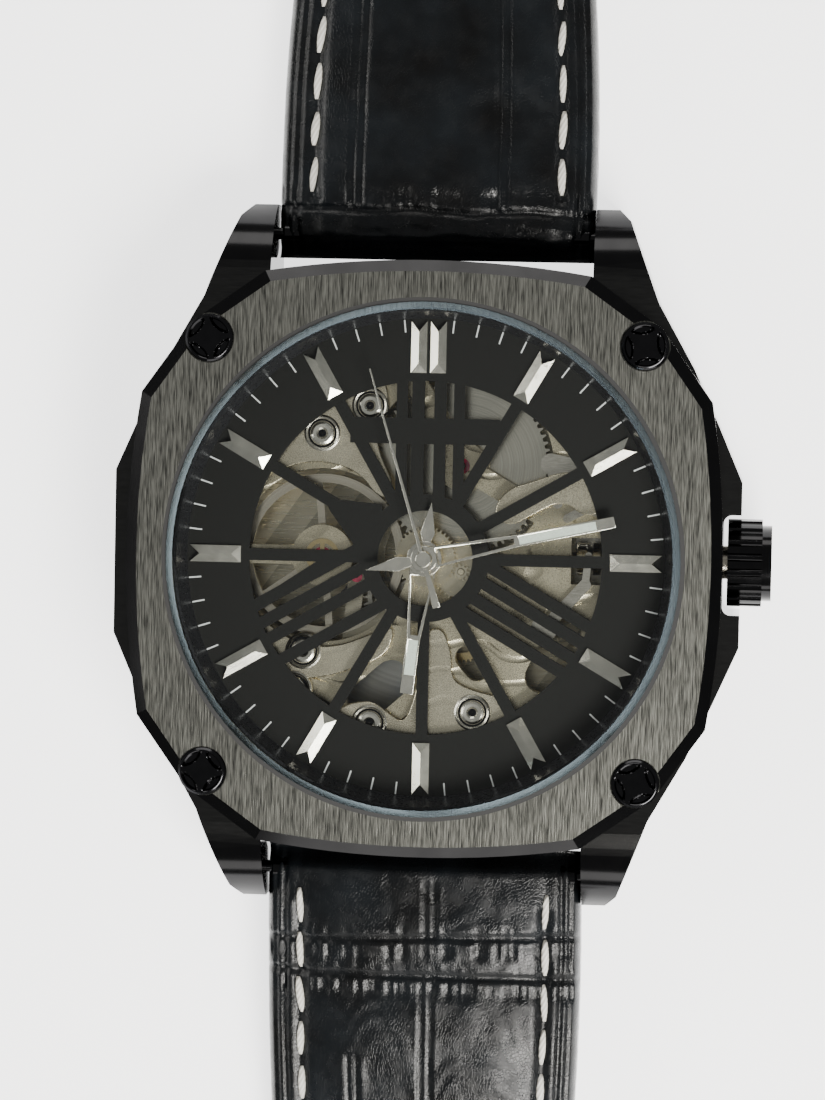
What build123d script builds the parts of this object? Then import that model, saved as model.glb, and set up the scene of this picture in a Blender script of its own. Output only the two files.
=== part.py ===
from build123d import *
import os
from math import atan2, cos, degrees, hypot, pi, radians, sin

# Automatic skeleton wristwatch, in millimetres. The case back lies on Z = 0 with its
# centre at the origin. +Y points to 12 o'clock, +X to the crown and +Z out of the dial.
# The leather strap lies open and flat on the same plane as the case back.

os.makedirs("parts", exist_ok=True)

# ---- Driving dimensions: heights of the stack, from the case back to the crystal ----
BACK_FLANGE_TOP = 0.95
CASE_BOTTOM = 1.0
CASE_TOP = 8.6
BRIDGE_BOTTOM = 3.1
BRIDGE_TOP = 3.9
PLATE_BOTTOM = 6.6
PLATE_TOP = 7.8
DIAL_BOTTOM = 8.7
DIAL_TOP = 9.1
BEZEL_TOP = 11.6
CRYSTAL_TOP = 12.2
ROTOR_BOTTOM = 2.05
ROTOR_TOP = 2.35

# ---- Driving dimensions: plan sizes ----
BORE_RADIUS = 17.2
PLATE_RADIUS = 15.6
CRYSTAL_RADIUS = 17.4
REHAUT_INNER_RADIUS = 16.5
DIAL_RADIUS = 17.0
CASE_HALF_WIDTH = 21.4
LUG_GAP_HALF = 11.0
LUG_TIP_Y = 24.0
BAR_Y = 22.0
BAR_Z = 4.3
CROWN_Z = 4.8
SCREW_OFFSET = 14.7

# ---- Driving dimensions: movement layout ----
CENTRE = (0.0, 0.0)
BARREL = (2.3, 6.3)
THIRD = (2.1, -3.64)
ESCAPE = (-2.86, -2.86)
PALLET = (-4.9, -1.5)
BALANCE = (-7.1, 0.0)
MINUTE_WORK = (2.44, -0.89)
CROWN_WHEEL = (9.4, 0.0)
SETTING_PIVOT = (11.6, 4.0)
YOKE_PIVOT = (8.2, -4.6)
CLICK_PIVOT = (-4.4, 6.9)
PALLET_COCK_FOOT = (-5.4, -7.4)

# ---- Driving dimensions: strap ----
STRAP_HALF_WIDTH = 10.75
STRAP_END_HALF_WIDTH = 9.0
LONG_END_Y = -140.0
BUCKLE_Y = 97.0

# ---- Time shown, as clockwise angles from 12 o'clock ----
HOUR_ANGLE = 186.5
MINUTE_ANGLE = 77.7
SECOND_ANGLE = 343.2


def save(builder, name):
    """Label a finished sub-part and write it as one STEP file."""
    builder.part.label = name
    export_step(builder.part, f"parts/{name}.step")


def at(height):
    """The horizontal plane at a height."""
    return Plane.XY.offset(height)


def clock_plane(angle, height, centre=CENTRE):
    """A horizontal plane whose local +Y points at a clockwise angle from 12 o'clock."""
    turn = radians(angle)
    origin = (centre[0], centre[1], height)
    return Plane(origin=origin, x_dir=(cos(turn), -sin(turn), 0), z_dir=(0, 0, 1))


def plate_disc(centre, radius, bottom, top, mode=Mode.ADD):
    """A flat disc between two heights."""
    with BuildSketch(at(bottom)) as outline:
        with Locations(centre):
            Circle(radius)
    extrude(outline.sketch, amount=top - bottom, mode=mode)


def plate_ring(centre, outer, inner, bottom, top, mode=Mode.ADD):
    """A flat ring between two heights."""
    with BuildSketch(at(bottom)) as outline:
        with Locations(centre):
            Circle(outer)
            Circle(inner, mode=Mode.SUBTRACT)
    extrude(outline.sketch, amount=top - bottom, mode=mode)


def plate_polygon(points, bottom, top, mode=Mode.ADD):
    """A flat plate with a straight-sided outline between two heights."""
    with BuildSketch(at(bottom)) as outline:
        with BuildLine():
            Polyline(*points, close=True)
        make_face()
    extrude(outline.sketch, amount=top - bottom, mode=mode)


def plate_bar(start, end, width, bottom, top, mode=Mode.ADD):
    """A flat bar with round ends between two points."""
    length = hypot(end[0] - start[0], end[1] - start[1])
    angle = degrees(atan2(end[1] - start[1], end[0] - start[0]))
    middle = ((start[0] + end[0]) / 2, (start[1] + end[1]) / 2)
    with BuildSketch(at(bottom)) as outline:
        with Locations(Location((middle[0], middle[1], 0), (0, 0, angle))):
            SlotCenterToCenter(length, width)
    extrude(outline.sketch, amount=top - bottom, mode=mode)


def gear_points(teeth, module, tooth_angle, addendum=0.8, dedendum=1.1):
    """The outline of a spur gear with straight-sided teeth, one tooth at tooth_angle degrees."""
    pitch_radius = module * teeth / 2
    tip = pitch_radius + addendum * module
    root = pitch_radius - dedendum * module
    pitch = 2 * pi / teeth
    corners = ((root, -0.27), (tip, -0.11), (tip, 0.11), (root, 0.27))
    points = []
    for tooth in range(teeth):
        middle = radians(tooth_angle) + tooth * pitch
        for radius, share in corners:
            angle = middle + share * pitch
            points.append((radius * cos(angle), radius * sin(angle)))
    return points


def gear(centre, teeth, module, tooth_angle, bottom, top, bore=0.0):
    """A spur gear added to the active part."""
    with BuildSketch(Plane((centre[0], centre[1], bottom))) as outline:
        with BuildLine():
            Polyline(*gear_points(teeth, module, tooth_angle), close=True)
        make_face()
        if bore:
            Circle(bore, mode=Mode.SUBTRACT)
    extrude(outline.sketch, amount=top - bottom)


def spoke_windows(centre, outer, inner, spokes, spoke_width, bottom, top, first_angle=0.0):
    """Cut the ring between two radii into windows, leaving straight spokes."""
    with BuildSketch(at(bottom)) as outline:
        with Locations(centre):
            Circle(outer)
            Circle(inner, mode=Mode.SUBTRACT)
        for spoke in range(spokes):
            angle = first_angle + spoke * 360 / spokes
            with Locations(Location((centre[0], centre[1], 0), (0, 0, angle))):
                Rectangle(outer * 1.1, spoke_width, align=(Align.MIN, Align.CENTER), mode=Mode.SUBTRACT)
    extrude(outline.sketch, amount=top - bottom, mode=Mode.SUBTRACT)


def spiral_band(centre, first_radius, pitch, half_turns, width, bottom, top):
    """A flat coiled spring made of half circles of growing radius."""
    def chain(side):
        arcs = []
        for k in range(half_turns):
            radius = first_radius + k * pitch / 2 + side * width / 2
            middle_x = centre[0] + (pitch / 2 if k % 2 else 0)
            way = -1 if k % 2 else 1
            arcs.append((
                (middle_x + way * radius, centre[1]),
                (middle_x, centre[1] + way * radius),
                (middle_x - way * radius, centre[1]),
            ))
        return arcs

    outer = chain(1)
    inner = chain(-1)
    with BuildSketch(at(bottom)) as outline:
        with BuildLine():
            for arc in outer:
                ThreePointArc(*arc)
            Line(outer[-1][2], inner[-1][2])
            for arc in inner:
                ThreePointArc(*arc)
            Line(inner[0][0], outer[0][0])
        make_face()
    extrude(outline.sketch, amount=top - bottom)


# ---- Case ----
def case_outline():
    """Plan of the case with its four lugs, closed polyline over four mirrored quadrants."""
    quadrant = [
        (LUG_GAP_HALF, 19.0), (LUG_GAP_HALF, LUG_TIP_Y), (12.6, LUG_TIP_Y), (13.4, 23.2),
        (15.5, 17.6), (18.0, 13.2), (19.7, 9.5), (CASE_HALF_WIDTH, 5.6),
    ]
    right_top = quadrant
    right_bottom = [(x, -y) for x, y in reversed(quadrant)]
    left_bottom = [(-x, -y) for x, y in quadrant]
    left_top = [(-x, y) for x, y in reversed(quadrant)]
    return right_top + right_bottom + left_bottom + left_top


with BuildPart() as lug_profile:
    with BuildSketch(Plane.YZ.offset(-25)):
        with BuildLine():
            Polyline((-16, CASE_TOP), (16, CASE_TOP), (18.5, CASE_TOP))
            ThreePointArc((18.5, CASE_TOP), (22.2, 7.0), (LUG_TIP_Y + 0.1, 4.4))
            Line((LUG_TIP_Y + 0.1, 4.4), (LUG_TIP_Y + 0.1, 0.8))
            ThreePointArc((LUG_TIP_Y + 0.1, 0.8), (20.5, 1.0), (17.5, CASE_BOTTOM))
            Line((17.5, CASE_BOTTOM), (-17.5, CASE_BOTTOM))
            ThreePointArc((-17.5, CASE_BOTTOM), (-20.5, 1.0), (-LUG_TIP_Y - 0.1, 0.8))
            Line((-LUG_TIP_Y - 0.1, 0.8), (-LUG_TIP_Y - 0.1, 4.4))
            ThreePointArc((-LUG_TIP_Y - 0.1, 4.4), (-22.2, 7.0), (-18.5, CASE_TOP))
            Line((-18.5, CASE_TOP), (-16, CASE_TOP))
        make_face()
    extrude(amount=50)

with BuildPart() as mid_case:
    plate_polygon(case_outline(), 0.5, CASE_TOP)
    add(lug_profile.part, mode=Mode.INTERSECT)
    plate_disc(CENTRE, BORE_RADIUS, CASE_BOTTOM, CASE_TOP, Mode.SUBTRACT)
    with BuildSketch(at(CASE_BOTTOM)):
        with Locations((22.0, 0)):
            RectangleRounded(3.6, 6.8, 0.6)
    extrude(amount=CASE_TOP, mode=Mode.SUBTRACT)
    with BuildSketch(Plane.YZ.offset(16)):
        with Locations((0, CROWN_Z)):
            Circle(1.15)
    extrude(amount=6, mode=Mode.SUBTRACT)
    for bar_side in (1, -1):
        with BuildSketch(Plane.YZ.offset(-12.2)):
            with Locations((bar_side * BAR_Y, BAR_Z)):
                Circle(0.45)
        extrude(amount=24.4, mode=Mode.SUBTRACT)
save(mid_case, "mid_case")


def bezel_outline(inset=0.0):
    """Octagonal bezel plan: bulging long sides and short diagonal corners."""
    scale = 1 - inset / 20.0
    mid, corner = 20.2 * scale, 15.85 * scale
    near, far = 11.0 * scale, 19.3 * scale
    for turn in range(4):
        angle = radians(90 * turn)

        def spin(x, y, a=angle):
            return (x * cos(a) - y * sin(a), x * sin(a) + y * cos(a))

        ThreePointArc(spin(far, -near), spin(mid, 0), spin(far, near))
        Line(spin(far, near), spin(corner, corner))
        Line(spin(corner, corner), spin(near, far))


with BuildPart() as bezel:
    with BuildSketch(at(CASE_TOP)):
        with BuildLine():
            bezel_outline()
        make_face()
    extrude(amount=BEZEL_TOP - 0.5 - CASE_TOP)
    with BuildSketch(at(BEZEL_TOP - 0.5)):
        with BuildLine():
            bezel_outline()
        make_face()
    with BuildSketch(at(BEZEL_TOP)):
        with BuildLine():
            bezel_outline(0.75)
        make_face()
    loft()
    plate_disc(CENTRE, DIAL_RADIUS + 0.05, CASE_TOP, BEZEL_TOP, Mode.SUBTRACT)
    plate_disc(CENTRE, CRYSTAL_RADIUS + 0.3, 10.9, BEZEL_TOP, Mode.SUBTRACT)
    for sx, sy in ((1, 1), (1, -1), (-1, 1), (-1, -1)):
        plate_disc((sx * SCREW_OFFSET, sy * SCREW_OFFSET), 1.7, 10.9, BEZEL_TOP, Mode.SUBTRACT)
        plate_disc((sx * SCREW_OFFSET, sy * SCREW_OFFSET), 0.7, CASE_TOP, BEZEL_TOP, Mode.SUBTRACT)
save(bezel, "bezel")

with BuildPart() as bezel_screws:
    for sx, sy in ((1, 1), (1, -1), (-1, 1), (-1, -1)):
        place = (sx * SCREW_OFFSET, sy * SCREW_OFFSET)
        plate_disc(place, 0.65, CASE_TOP, 10.9)
        plate_disc(place, 1.62, 10.9, BEZEL_TOP + 0.1)
        with BuildSketch(at(BEZEL_TOP - 0.25)):
            for lobe in range(4):
                turn = radians(45 + 90 * lobe)
                with Locations((place[0] + 1.15 * cos(turn), place[1] + 1.15 * sin(turn))):
                    Circle(0.42)
        extrude(amount=0.5, mode=Mode.SUBTRACT)
save(bezel_screws, "bezel_screws")

with BuildPart() as crystal:
    plate_disc(CENTRE, CRYSTAL_RADIUS, 10.9, CRYSTAL_TOP)
    chamfer(crystal.faces().sort_by(Axis.Z)[-1].edges(), 0.5)
save(crystal, "crystal")

with BuildPart() as crystal_gasket:
    plate_ring(CENTRE, CRYSTAL_RADIUS + 0.3, CRYSTAL_RADIUS, 10.9, BEZEL_TOP)
save(crystal_gasket, "crystal_gasket")

with BuildPart() as rehaut_ring:
    plate_disc(CENTRE, DIAL_RADIUS, DIAL_TOP, 10.9)
    with BuildSketch(at(DIAL_TOP)):
        Circle(REHAUT_INNER_RADIUS - 0.2)
    with BuildSketch(at(10.9)):
        Circle(REHAUT_INNER_RADIUS + 0.3)
    loft(mode=Mode.SUBTRACT)
save(rehaut_ring, "rehaut_ring")

with BuildPart() as case_back:
    plate_disc(CENTRE, 18.4, 0, BACK_FLANGE_TOP)
    plate_disc(CENTRE, BORE_RADIUS - 0.1, BACK_FLANGE_TOP, 2.4)
    plate_disc(CENTRE, 15.7, 1.5, 2.4, Mode.SUBTRACT)
    plate_disc(CENTRE, 14.6, 0.5, 1.5, Mode.SUBTRACT)
    plate_disc(CENTRE, 13.8, 0, 0.5, Mode.SUBTRACT)
    plate_ring(CENTRE, 18.0, 17.4, 0.7, BACK_FLANGE_TOP, Mode.SUBTRACT)
    with BuildSketch(at(0)):
        with PolarLocations(16.8, 6):
            Rectangle(1.6, 2.4)
    extrude(amount=0.4, mode=Mode.SUBTRACT)
save(case_back, "case_back")

with BuildPart() as case_back_glass:
    plate_disc(CENTRE, 14.55, 0.5, 1.5)
    plate_disc(CENTRE, 13.75, 0, 0.5)
save(case_back_glass, "case_back_glass")

with BuildPart() as case_back_gasket:
    plate_ring(CENTRE, 18.0, 17.4, 0.7, CASE_BOTTOM)
save(case_back_gasket, "case_back_gasket")

with BuildPart() as spring_bars:
    for bar_side in (1, -1):
        with BuildSketch(Plane.YZ.offset(-12.0)):
            with Locations((bar_side * BAR_Y, BAR_Z)):
                Circle(0.42)
        extrude(amount=24.0)
        with BuildSketch(Plane.YZ.offset(-10.5)):
            with Locations((bar_side * BAR_Y, BAR_Z)):
                Circle(0.75)
        extrude(amount=21.0)
save(spring_bars, "spring_bars")

with BuildPart() as crown_tube:
    with BuildSketch(Plane.YZ.offset(17.3)):
        with Locations((0, CROWN_Z)):
            Circle(1.15)
            Circle(0.8, mode=Mode.SUBTRACT)
    extrude(amount=4.2)
save(crown_tube, "crown_tube")

# ---- Dial ----
with BuildPart() as dial:
    with BuildSketch(at(DIAL_BOTTOM)):
        Circle(DIAL_RADIUS)
        Circle(12.05, mode=Mode.SUBTRACT)
        with BuildSketch(mode=Mode.PRIVATE) as lattice:
            Circle(4.35)
            for hour in (1, 2, 3, 5, 6, 7, 9, 10, 11):
                with Locations(Location((0, 0, 0), (0, 0, 90 - 30 * hour))):
                    Rectangle(13, 0.8, align=(Align.MIN, Align.CENTER))
            for bar_x, bar_width in ((2.15, 0.75), (0.85, 0.8), (-0.65, 0.85), (-1.75, 0.75)):
                with Locations((bar_x, 2)):
                    Rectangle(bar_width, 11, align=(Align.CENTER, Align.MIN))
            with Locations((-0.15, 8.65)):
                Rectangle(10.2, 1.75)
            for direction, offsets in ((-30, (-1.8, -0.62, 0.62, 1.8)), (210, (-2.75, -1.5, -0.3, 1.35))):
                for offset_value in offsets:
                    turn = radians(direction)
                    start = (-offset_value * sin(turn), offset_value * cos(turn))
                    with Locations(Location((start[0], start[1], 0), (0, 0, direction))):
                        Rectangle(12.6, 0.82, align=(Align.MIN, Align.CENTER))
            with BuildLine():
                Polyline((-3.0, 3.6), (-6.9, 3.95), (-6.6, 3.15), (-4.55, 0.4), (-3.0, 0), close=True)
            make_face()
            with Locations(Location((-9.0, -1.9, 0), (0, 0, 33.7))):
                Rectangle(7.2, 0.75)
            Circle(3.25, mode=Mode.SUBTRACT)
            Circle(12.5, mode=Mode.INTERSECT)
        add(lattice.sketch)
    extrude(amount=DIAL_TOP - DIAL_BOTTOM)
save(dial, "dial")

with BuildPart() as hour_markers:
    marker_places = [(30 * hour, 0.0, 1.15) for hour in range(1, 12)]
    marker_places += [(0, 0.66, 1.05), (0, -0.66, 1.05)]
    for angle, shift, width in marker_places:
        half = width / 2
        with BuildSketch(clock_plane(angle, DIAL_TOP)):
            with BuildLine():
                Polyline(
                    (shift - half * 0.55, 12.6), (shift + half * 0.55, 12.6), (shift + half, 13.1),
                    (shift + half, 16.1), (shift, 15.6), (shift - half, 16.1), (shift - half, 13.1),
                    close=True,
                )
            make_face()
        extrude(amount=0.5)
save(hour_markers, "hour_markers")

# ---- Movement: plates and bridges ----
with BuildPart() as movement_ring:
    plate_ring(CENTRE, BORE_RADIUS - 0.05, PLATE_RADIUS + 0.02, 4.0, CASE_TOP)
    with BuildSketch(Plane.YZ.offset(14)):
        with Locations((0, CROWN_Z)):
            Circle(1.2)
    extrude(amount=4, mode=Mode.SUBTRACT)
save(movement_ring, "movement_ring")

with BuildPart() as main_plate:
    plate_disc(CENTRE, PLATE_RADIUS, PLATE_BOTTOM, PLATE_TOP)
    plate_disc(BALANCE, 5.95, PLATE_BOTTOM, PLATE_TOP, Mode.SUBTRACT)
    plate_disc(BARREL, 6.3, PLATE_BOTTOM, PLATE_TOP, Mode.SUBTRACT)
    plate_disc((-11.0, -0.4), 2.2, PLATE_BOTTOM, PLATE_TOP, Mode.SUBTRACT)
    stem_window = ((9.9, -1.6), (13.6, -1.6), (13.6, 1.6), (9.9, 1.6))
    plate_polygon(stem_window, PLATE_BOTTOM, PLATE_TOP, Mode.SUBTRACT)
    plate_bar((2.9, -6.8), (3.6, -7.6), 1.6, PLATE_BOTTOM, PLATE_TOP, Mode.SUBTRACT)
    plate_bar((-2.2, -8.4), (-4.0, -10.0), 2.6, PLATE_BOTTOM, PLATE_TOP, Mode.SUBTRACT)
    plate_bar((8.0, -8.0), (9.6, -4.6), 2.2, PLATE_BOTTOM, PLATE_TOP, Mode.SUBTRACT)
    plate_disc(CENTRE, 1.4, PLATE_BOTTOM, PLATE_TOP)
    plate_bar(BARREL, (2.3 - 6.4 * cos(radians(60)), 6.3 + 6.4 * sin(radians(60))), 1.5, 7.0, PLATE_TOP)
    plate_bar(BARREL, (2.3 + 6.4 * cos(radians(30)), 6.3 - 6.4 * sin(radians(30))), 1.5, 7.0, PLATE_TOP)
    plate_disc(BARREL, 1.7, 6.75, PLATE_TOP)
    plate_bar(BALANCE, (-13.6, 0), 1.3, 7.65, 8.3)
    plate_disc(BALANCE, 2.1, 7.65, 8.3)
    plate_disc((-13.9, 0), 1.0, PLATE_BOTTOM, 8.3)
    plate_disc(CENTRE, 0.47, PLATE_BOTTOM, 9, Mode.SUBTRACT)
    plate_disc(MINUTE_WORK, 0.21, PLATE_TOP, 8.6)
    for pivot, pivot_radius in ((BARREL, 0.55), (THIRD, 0.5), (BALANCE, 0.6)):
        plate_disc(pivot, pivot_radius, PLATE_BOTTOM, 9, Mode.SUBTRACT)
save(main_plate, "main_plate")

with BuildPart() as barrel_bridge:
    plate_disc(CENTRE, 15.3, BRIDGE_BOTTOM, BRIDGE_TOP)
    plate_polygon(((-16, -16), (16, -16), (16, -5.2), (6.5, -5.2), (6.5, 2.1), (-2, 2.1), (-4, 5), (-16, 5)),
                  BRIDGE_BOTTOM, BRIDGE_TOP, Mode.SUBTRACT)
    plate_disc(BALANCE, 6.9, BRIDGE_BOTTOM, BRIDGE_TOP, Mode.SUBTRACT)
    plate_ring(BARREL, 3.5, 2.0, BRIDGE_BOTTOM, BRIDGE_TOP, Mode.SUBTRACT)
    plate_bar((BARREL[0] - 4, BARREL[1]), (BARREL[0] + 4, BARREL[1]), 1.6, BRIDGE_BOTTOM, BRIDGE_TOP)
    stem_relief = ((10.0, -1.7), (16, -1.7), (16, 1.7), (10.0, 1.7))
    plate_polygon(stem_relief, BRIDGE_BOTTOM, BRIDGE_TOP, Mode.SUBTRACT)
    plate_ring(CROWN_WHEEL, 4.1, 2.9, BRIDGE_BOTTOM, 3.68, Mode.SUBTRACT)
    for angle in (25, 75, 125):
        place = (14.0 * cos(radians(angle)), 14.0 * sin(radians(angle)))
        plate_disc(place, 1.1, BRIDGE_TOP, PLATE_BOTTOM)
        plate_disc(place, 0.45, BRIDGE_BOTTOM, PLATE_BOTTOM, Mode.SUBTRACT)
    plate_disc(BARREL, 0.56, BRIDGE_BOTTOM, BRIDGE_TOP, Mode.SUBTRACT)
    plate_disc(CROWN_WHEEL, 0.8, BRIDGE_BOTTOM - 0.5, BRIDGE_BOTTOM)
    plate_disc(CLICK_PIVOT, 0.3, BRIDGE_BOTTOM - 0.5, BRIDGE_BOTTOM)
save(barrel_bridge, "barrel_bridge")

with BuildPart() as train_bridge:
    plate_polygon(
        ((-5.6, -3.4), (-5.5, -1.2), (-4.9, -0.6), (-3.2, -0.4), (-1.2, 1.7), (1.6, 1.7), (6.2, 1.2),
         (6.2, -5.4), (12.2, -5.6),
         (11.6, -9.6), (4.4, -14.4), (0.6, -14.6), (-1.6, -8.0)),
        BRIDGE_BOTTOM, BRIDGE_TOP,
    )
    for place in ((11.0, -7.4), (2.4, -13.2)):
        plate_disc(place, 1.1, BRIDGE_TOP, PLATE_BOTTOM)
        plate_disc(place, 0.45, BRIDGE_BOTTOM, PLATE_BOTTOM, Mode.SUBTRACT)
    for pivot in (CENTRE, THIRD, ESCAPE, PALLET):
        plate_disc(pivot, 0.5, BRIDGE_BOTTOM, BRIDGE_TOP, Mode.SUBTRACT)
    plate_ring(CROWN_WHEEL, 4.1, 2.9, BRIDGE_BOTTOM, 3.68, Mode.SUBTRACT)
save(train_bridge, "train_bridge")

with BuildPart() as balance_cock:
    plate_polygon(((-8.0, 1.3), (-13.2, 3.2), (-14.6, 2.2), (-14.6, -2.2), (-13.2, -3.2), (-8.0, -1.3),
                   (-6.0, -0.8), (-6.0, 0.8)), BRIDGE_BOTTOM, BRIDGE_TOP)
    plate_disc(BALANCE, 1.5, BRIDGE_BOTTOM, 4.9)
    plate_polygon(((-13.1, 2.0), (-14.6, 2.0), (-14.6, -2.0), (-13.1, -2.0)), BRIDGE_TOP, PLATE_BOTTOM)
    plate_disc(BALANCE, 0.6, BRIDGE_BOTTOM, 5.0, Mode.SUBTRACT)
    plate_disc((-13.9, 0), 0.45, BRIDGE_BOTTOM, PLATE_BOTTOM, Mode.SUBTRACT)
    plate_disc((-9.5, 0), 0.35, BRIDGE_TOP, 6.35)
save(balance_cock, "balance_cock")

with BuildPart() as pallet_cock:
    for pivot in (PALLET, ESCAPE):
        plate_bar(pivot, PALLET_COCK_FOOT, 1.1, 5.85, 6.45)
    plate_disc(PALLET_COCK_FOOT, 1.0, 5.85, PLATE_BOTTOM)
    for pivot in (PALLET, ESCAPE):
        plate_disc(pivot, 0.4, 5.85, 6.45, Mode.SUBTRACT)
    plate_disc(PALLET_COCK_FOOT, 0.32, 5.8, PLATE_BOTTOM, Mode.SUBTRACT)
save(pallet_cock, "pallet_cock")

with BuildPart() as movement_screws:
    bridge_holes = [(14.0 * cos(radians(a)), 14.0 * sin(radians(a))) for a in (25, 75, 125)]
    bridge_holes += [(11.0, -7.4), (2.4, -13.2), (-13.9, 0)]
    for place in bridge_holes:
        plate_disc(place, 0.42, BRIDGE_BOTTOM, PLATE_BOTTOM)
        plate_disc(place, 0.85, BRIDGE_BOTTOM - 0.1, BRIDGE_BOTTOM)
        plate_bar((place[0] - 1, place[1]), (place[0] + 1, place[1]), 0.2,
                  BRIDGE_BOTTOM - 0.1, BRIDGE_BOTTOM - 0.02, Mode.SUBTRACT)
    plate_disc(PALLET_COCK_FOOT, 0.3, 5.85, PLATE_BOTTOM)
    plate_disc(PALLET_COCK_FOOT, 0.6, 5.7, 5.85)
    for place in ((-7.25, 8.35), (-4.0, 10.3), (3.4, -10.5), (-8.3, -6.6), (-8.9, -9.2), (-3.65, -11.4)):
        plate_disc(place, 0.85, PLATE_TOP, PLATE_TOP + 0.3)
        plate_bar((place[0] - 1, place[1]), (place[0] + 1, place[1]), 0.22,
                  PLATE_TOP + 0.15, PLATE_TOP + 0.4, Mode.SUBTRACT)
save(movement_screws, "movement_screws")

with BuildPart() as jewels:
    for place, hole, low, high in (
        (BARREL, 0.26, 7.3, PLATE_TOP), (THIRD, 0.12, PLATE_BOTTOM, 7.2), (ESCAPE, 0.12, 5.85, 6.45),
        (PALLET, 0.12, 5.85, 6.45), (CENTRE, 0.2, BRIDGE_BOTTOM, BRIDGE_TOP),
        (THIRD, 0.12, BRIDGE_BOTTOM, BRIDGE_TOP), (ESCAPE, 0.12, BRIDGE_BOTTOM, BRIDGE_TOP),
        (PALLET, 0.12, BRIDGE_BOTTOM, BRIDGE_TOP),
    ):
        radius = {5.85: 0.4, 7.3: 0.55}.get(low, 0.5)
        plate_ring(place, radius, hole, low, high)
    plate_ring(BALANCE, 0.6, 0.12, 7.75, 8.3)
    plate_ring(BALANCE, 0.6, 0.12, 4.2, 4.9)
save(jewels, "jewels")

with BuildPart() as shock_springs:
    for bottom in (8.3, 3.0):
        plate_ring(BALANCE, 1.15, 0.85, bottom, bottom + 0.1)
        for lobe in range(3):
            turn = radians(90 + 120 * lobe)
            plate_bar(
                (BALANCE[0] + cos(turn), BALANCE[1] + sin(turn)),
                (BALANCE[0] + 0.35 * cos(turn), BALANCE[1] + 0.35 * sin(turn)), 0.3, bottom, bottom + 0.1,
            )
save(shock_springs, "shock_springs")

with BuildPart() as hairspring:
    spiral_band(BALANCE, 0.55, 0.22, 12, 0.05, 6.15, 6.35)
save(hairspring, "hairspring")

with BuildPart() as click_spring:
    plate_bar((-6.0, 9.4), (-4.2, 8.0), 0.2, BRIDGE_BOTTOM - 0.25, BRIDGE_BOTTOM)
    plate_disc((-6.0, 9.4), 0.5, BRIDGE_BOTTOM - 0.25, BRIDGE_BOTTOM)
save(click_spring, "click_spring")

with BuildPart() as setting_spring:
    plate_bar((12.4, 5.8), (8.4, 6.6), 1.4, PLATE_TOP, 8.1)
    plate_bar((8.4, 6.6), (8.9, 3.9), 0.7, PLATE_TOP, 8.1)
save(setting_spring, "setting_spring")

# ---- Movement: the going train. Every wheel is in mesh at rest. ----
BARREL_ANGLE = degrees(atan2(BARREL[1], BARREL[0]))
THIRD_ANGLE = degrees(atan2(THIRD[1], THIRD[0]))
ESCAPE_ANGLE = degrees(atan2(ESCAPE[1], ESCAPE[0]))
MINUTE_WORK_ANGLE = degrees(atan2(MINUTE_WORK[1], MINUTE_WORK[0]))
THIRD_DISTANCE = hypot(*THIRD)
ESCAPE_DISTANCE = hypot(*ESCAPE)
MINUTE_WORK_DISTANCE = hypot(*MINUTE_WORK)
BARREL_MODULE = 2 * hypot(*BARREL) / (74 + 10)
CENTRE_MODULE = 2 * THIRD_DISTANCE / (80 + 10)
THIRD_MODULE = 2 * THIRD_DISTANCE / (75 + 10)
FOURTH_MODULE = 2 * ESCAPE_DISTANCE / (72 + 8)

with BuildPart() as barrel_drum:
    plate_disc(BARREL, 5.5, 5.2, 6.5)
    gear(BARREL, 74, BARREL_MODULE, BARREL_ANGLE + 180, 5.95, 6.5)
    plate_disc(BARREL, 5.2, 5.35, 6.35, Mode.SUBTRACT)
    plate_disc(BARREL, 0.6, 5.0, 7.0, Mode.SUBTRACT)
save(barrel_drum, "barrel_drum")

with BuildPart() as mainspring:
    spiral_band(BARREL, 1.5, 0.6, 11, 0.16, 5.4, 6.3)
save(mainspring, "mainspring")

with BuildPart() as centre_wheel:
    gear(CENTRE, 80, CENTRE_MODULE, THIRD_ANGLE, 4.9, 5.05)
    spoke_windows(CENTRE, 3.1, 1.1, 4, 0.4, 4.9, 5.05, 20)
    plate_disc(CENTRE, 0.42, 4.85, 7.85)
    gear(CENTRE, 10, BARREL_MODULE, BARREL_ANGLE + 18, 5.7, 6.5)
    plate_disc(CENTRE, 0.24, 4.8, 8.0, Mode.SUBTRACT)
save(centre_wheel, "centre_wheel")

with BuildPart() as cannon_pinion:
    gear(CENTRE, 12, 2 * MINUTE_WORK_DISTANCE / 48, MINUTE_WORK_ANGLE, 7.85, 8.15)
    plate_disc(CENTRE, 0.5, 8.15, 10.1)
    plate_disc(CENTRE, 0.24, 7.85, 10.2, Mode.SUBTRACT)
save(cannon_pinion, "cannon_pinion")

with BuildPart() as third_wheel:
    gear(THIRD, 75, THIRD_MODULE, THIRD_ANGLE + 180, 4.5, 4.65)
    spoke_windows(THIRD, 3.1, 0.9, 4, 0.4, 4.5, 4.65, 45)
    gear(THIRD, 10, CENTRE_MODULE, THIRD_ANGLE + 180 + 18, 4.8, 5.15)
    plate_disc(THIRD, 0.28, 4.2, 6.5)
    plate_disc(THIRD, 0.1, 3.15, 7.15)
save(third_wheel, "third_wheel")

with BuildPart() as fourth_wheel:
    gear(CENTRE, 72, FOURTH_MODULE, ESCAPE_ANGLE, 4.1, 4.25)
    spoke_windows(CENTRE, 3.0, 0.8, 4, 0.4, 4.1, 4.25)
    gear(CENTRE, 10, THIRD_MODULE, THIRD_ANGLE + 18, 4.4, 4.75)
    plate_disc(CENTRE, 0.18, 3.15, 10.55)
save(fourth_wheel, "fourth_wheel")

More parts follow.
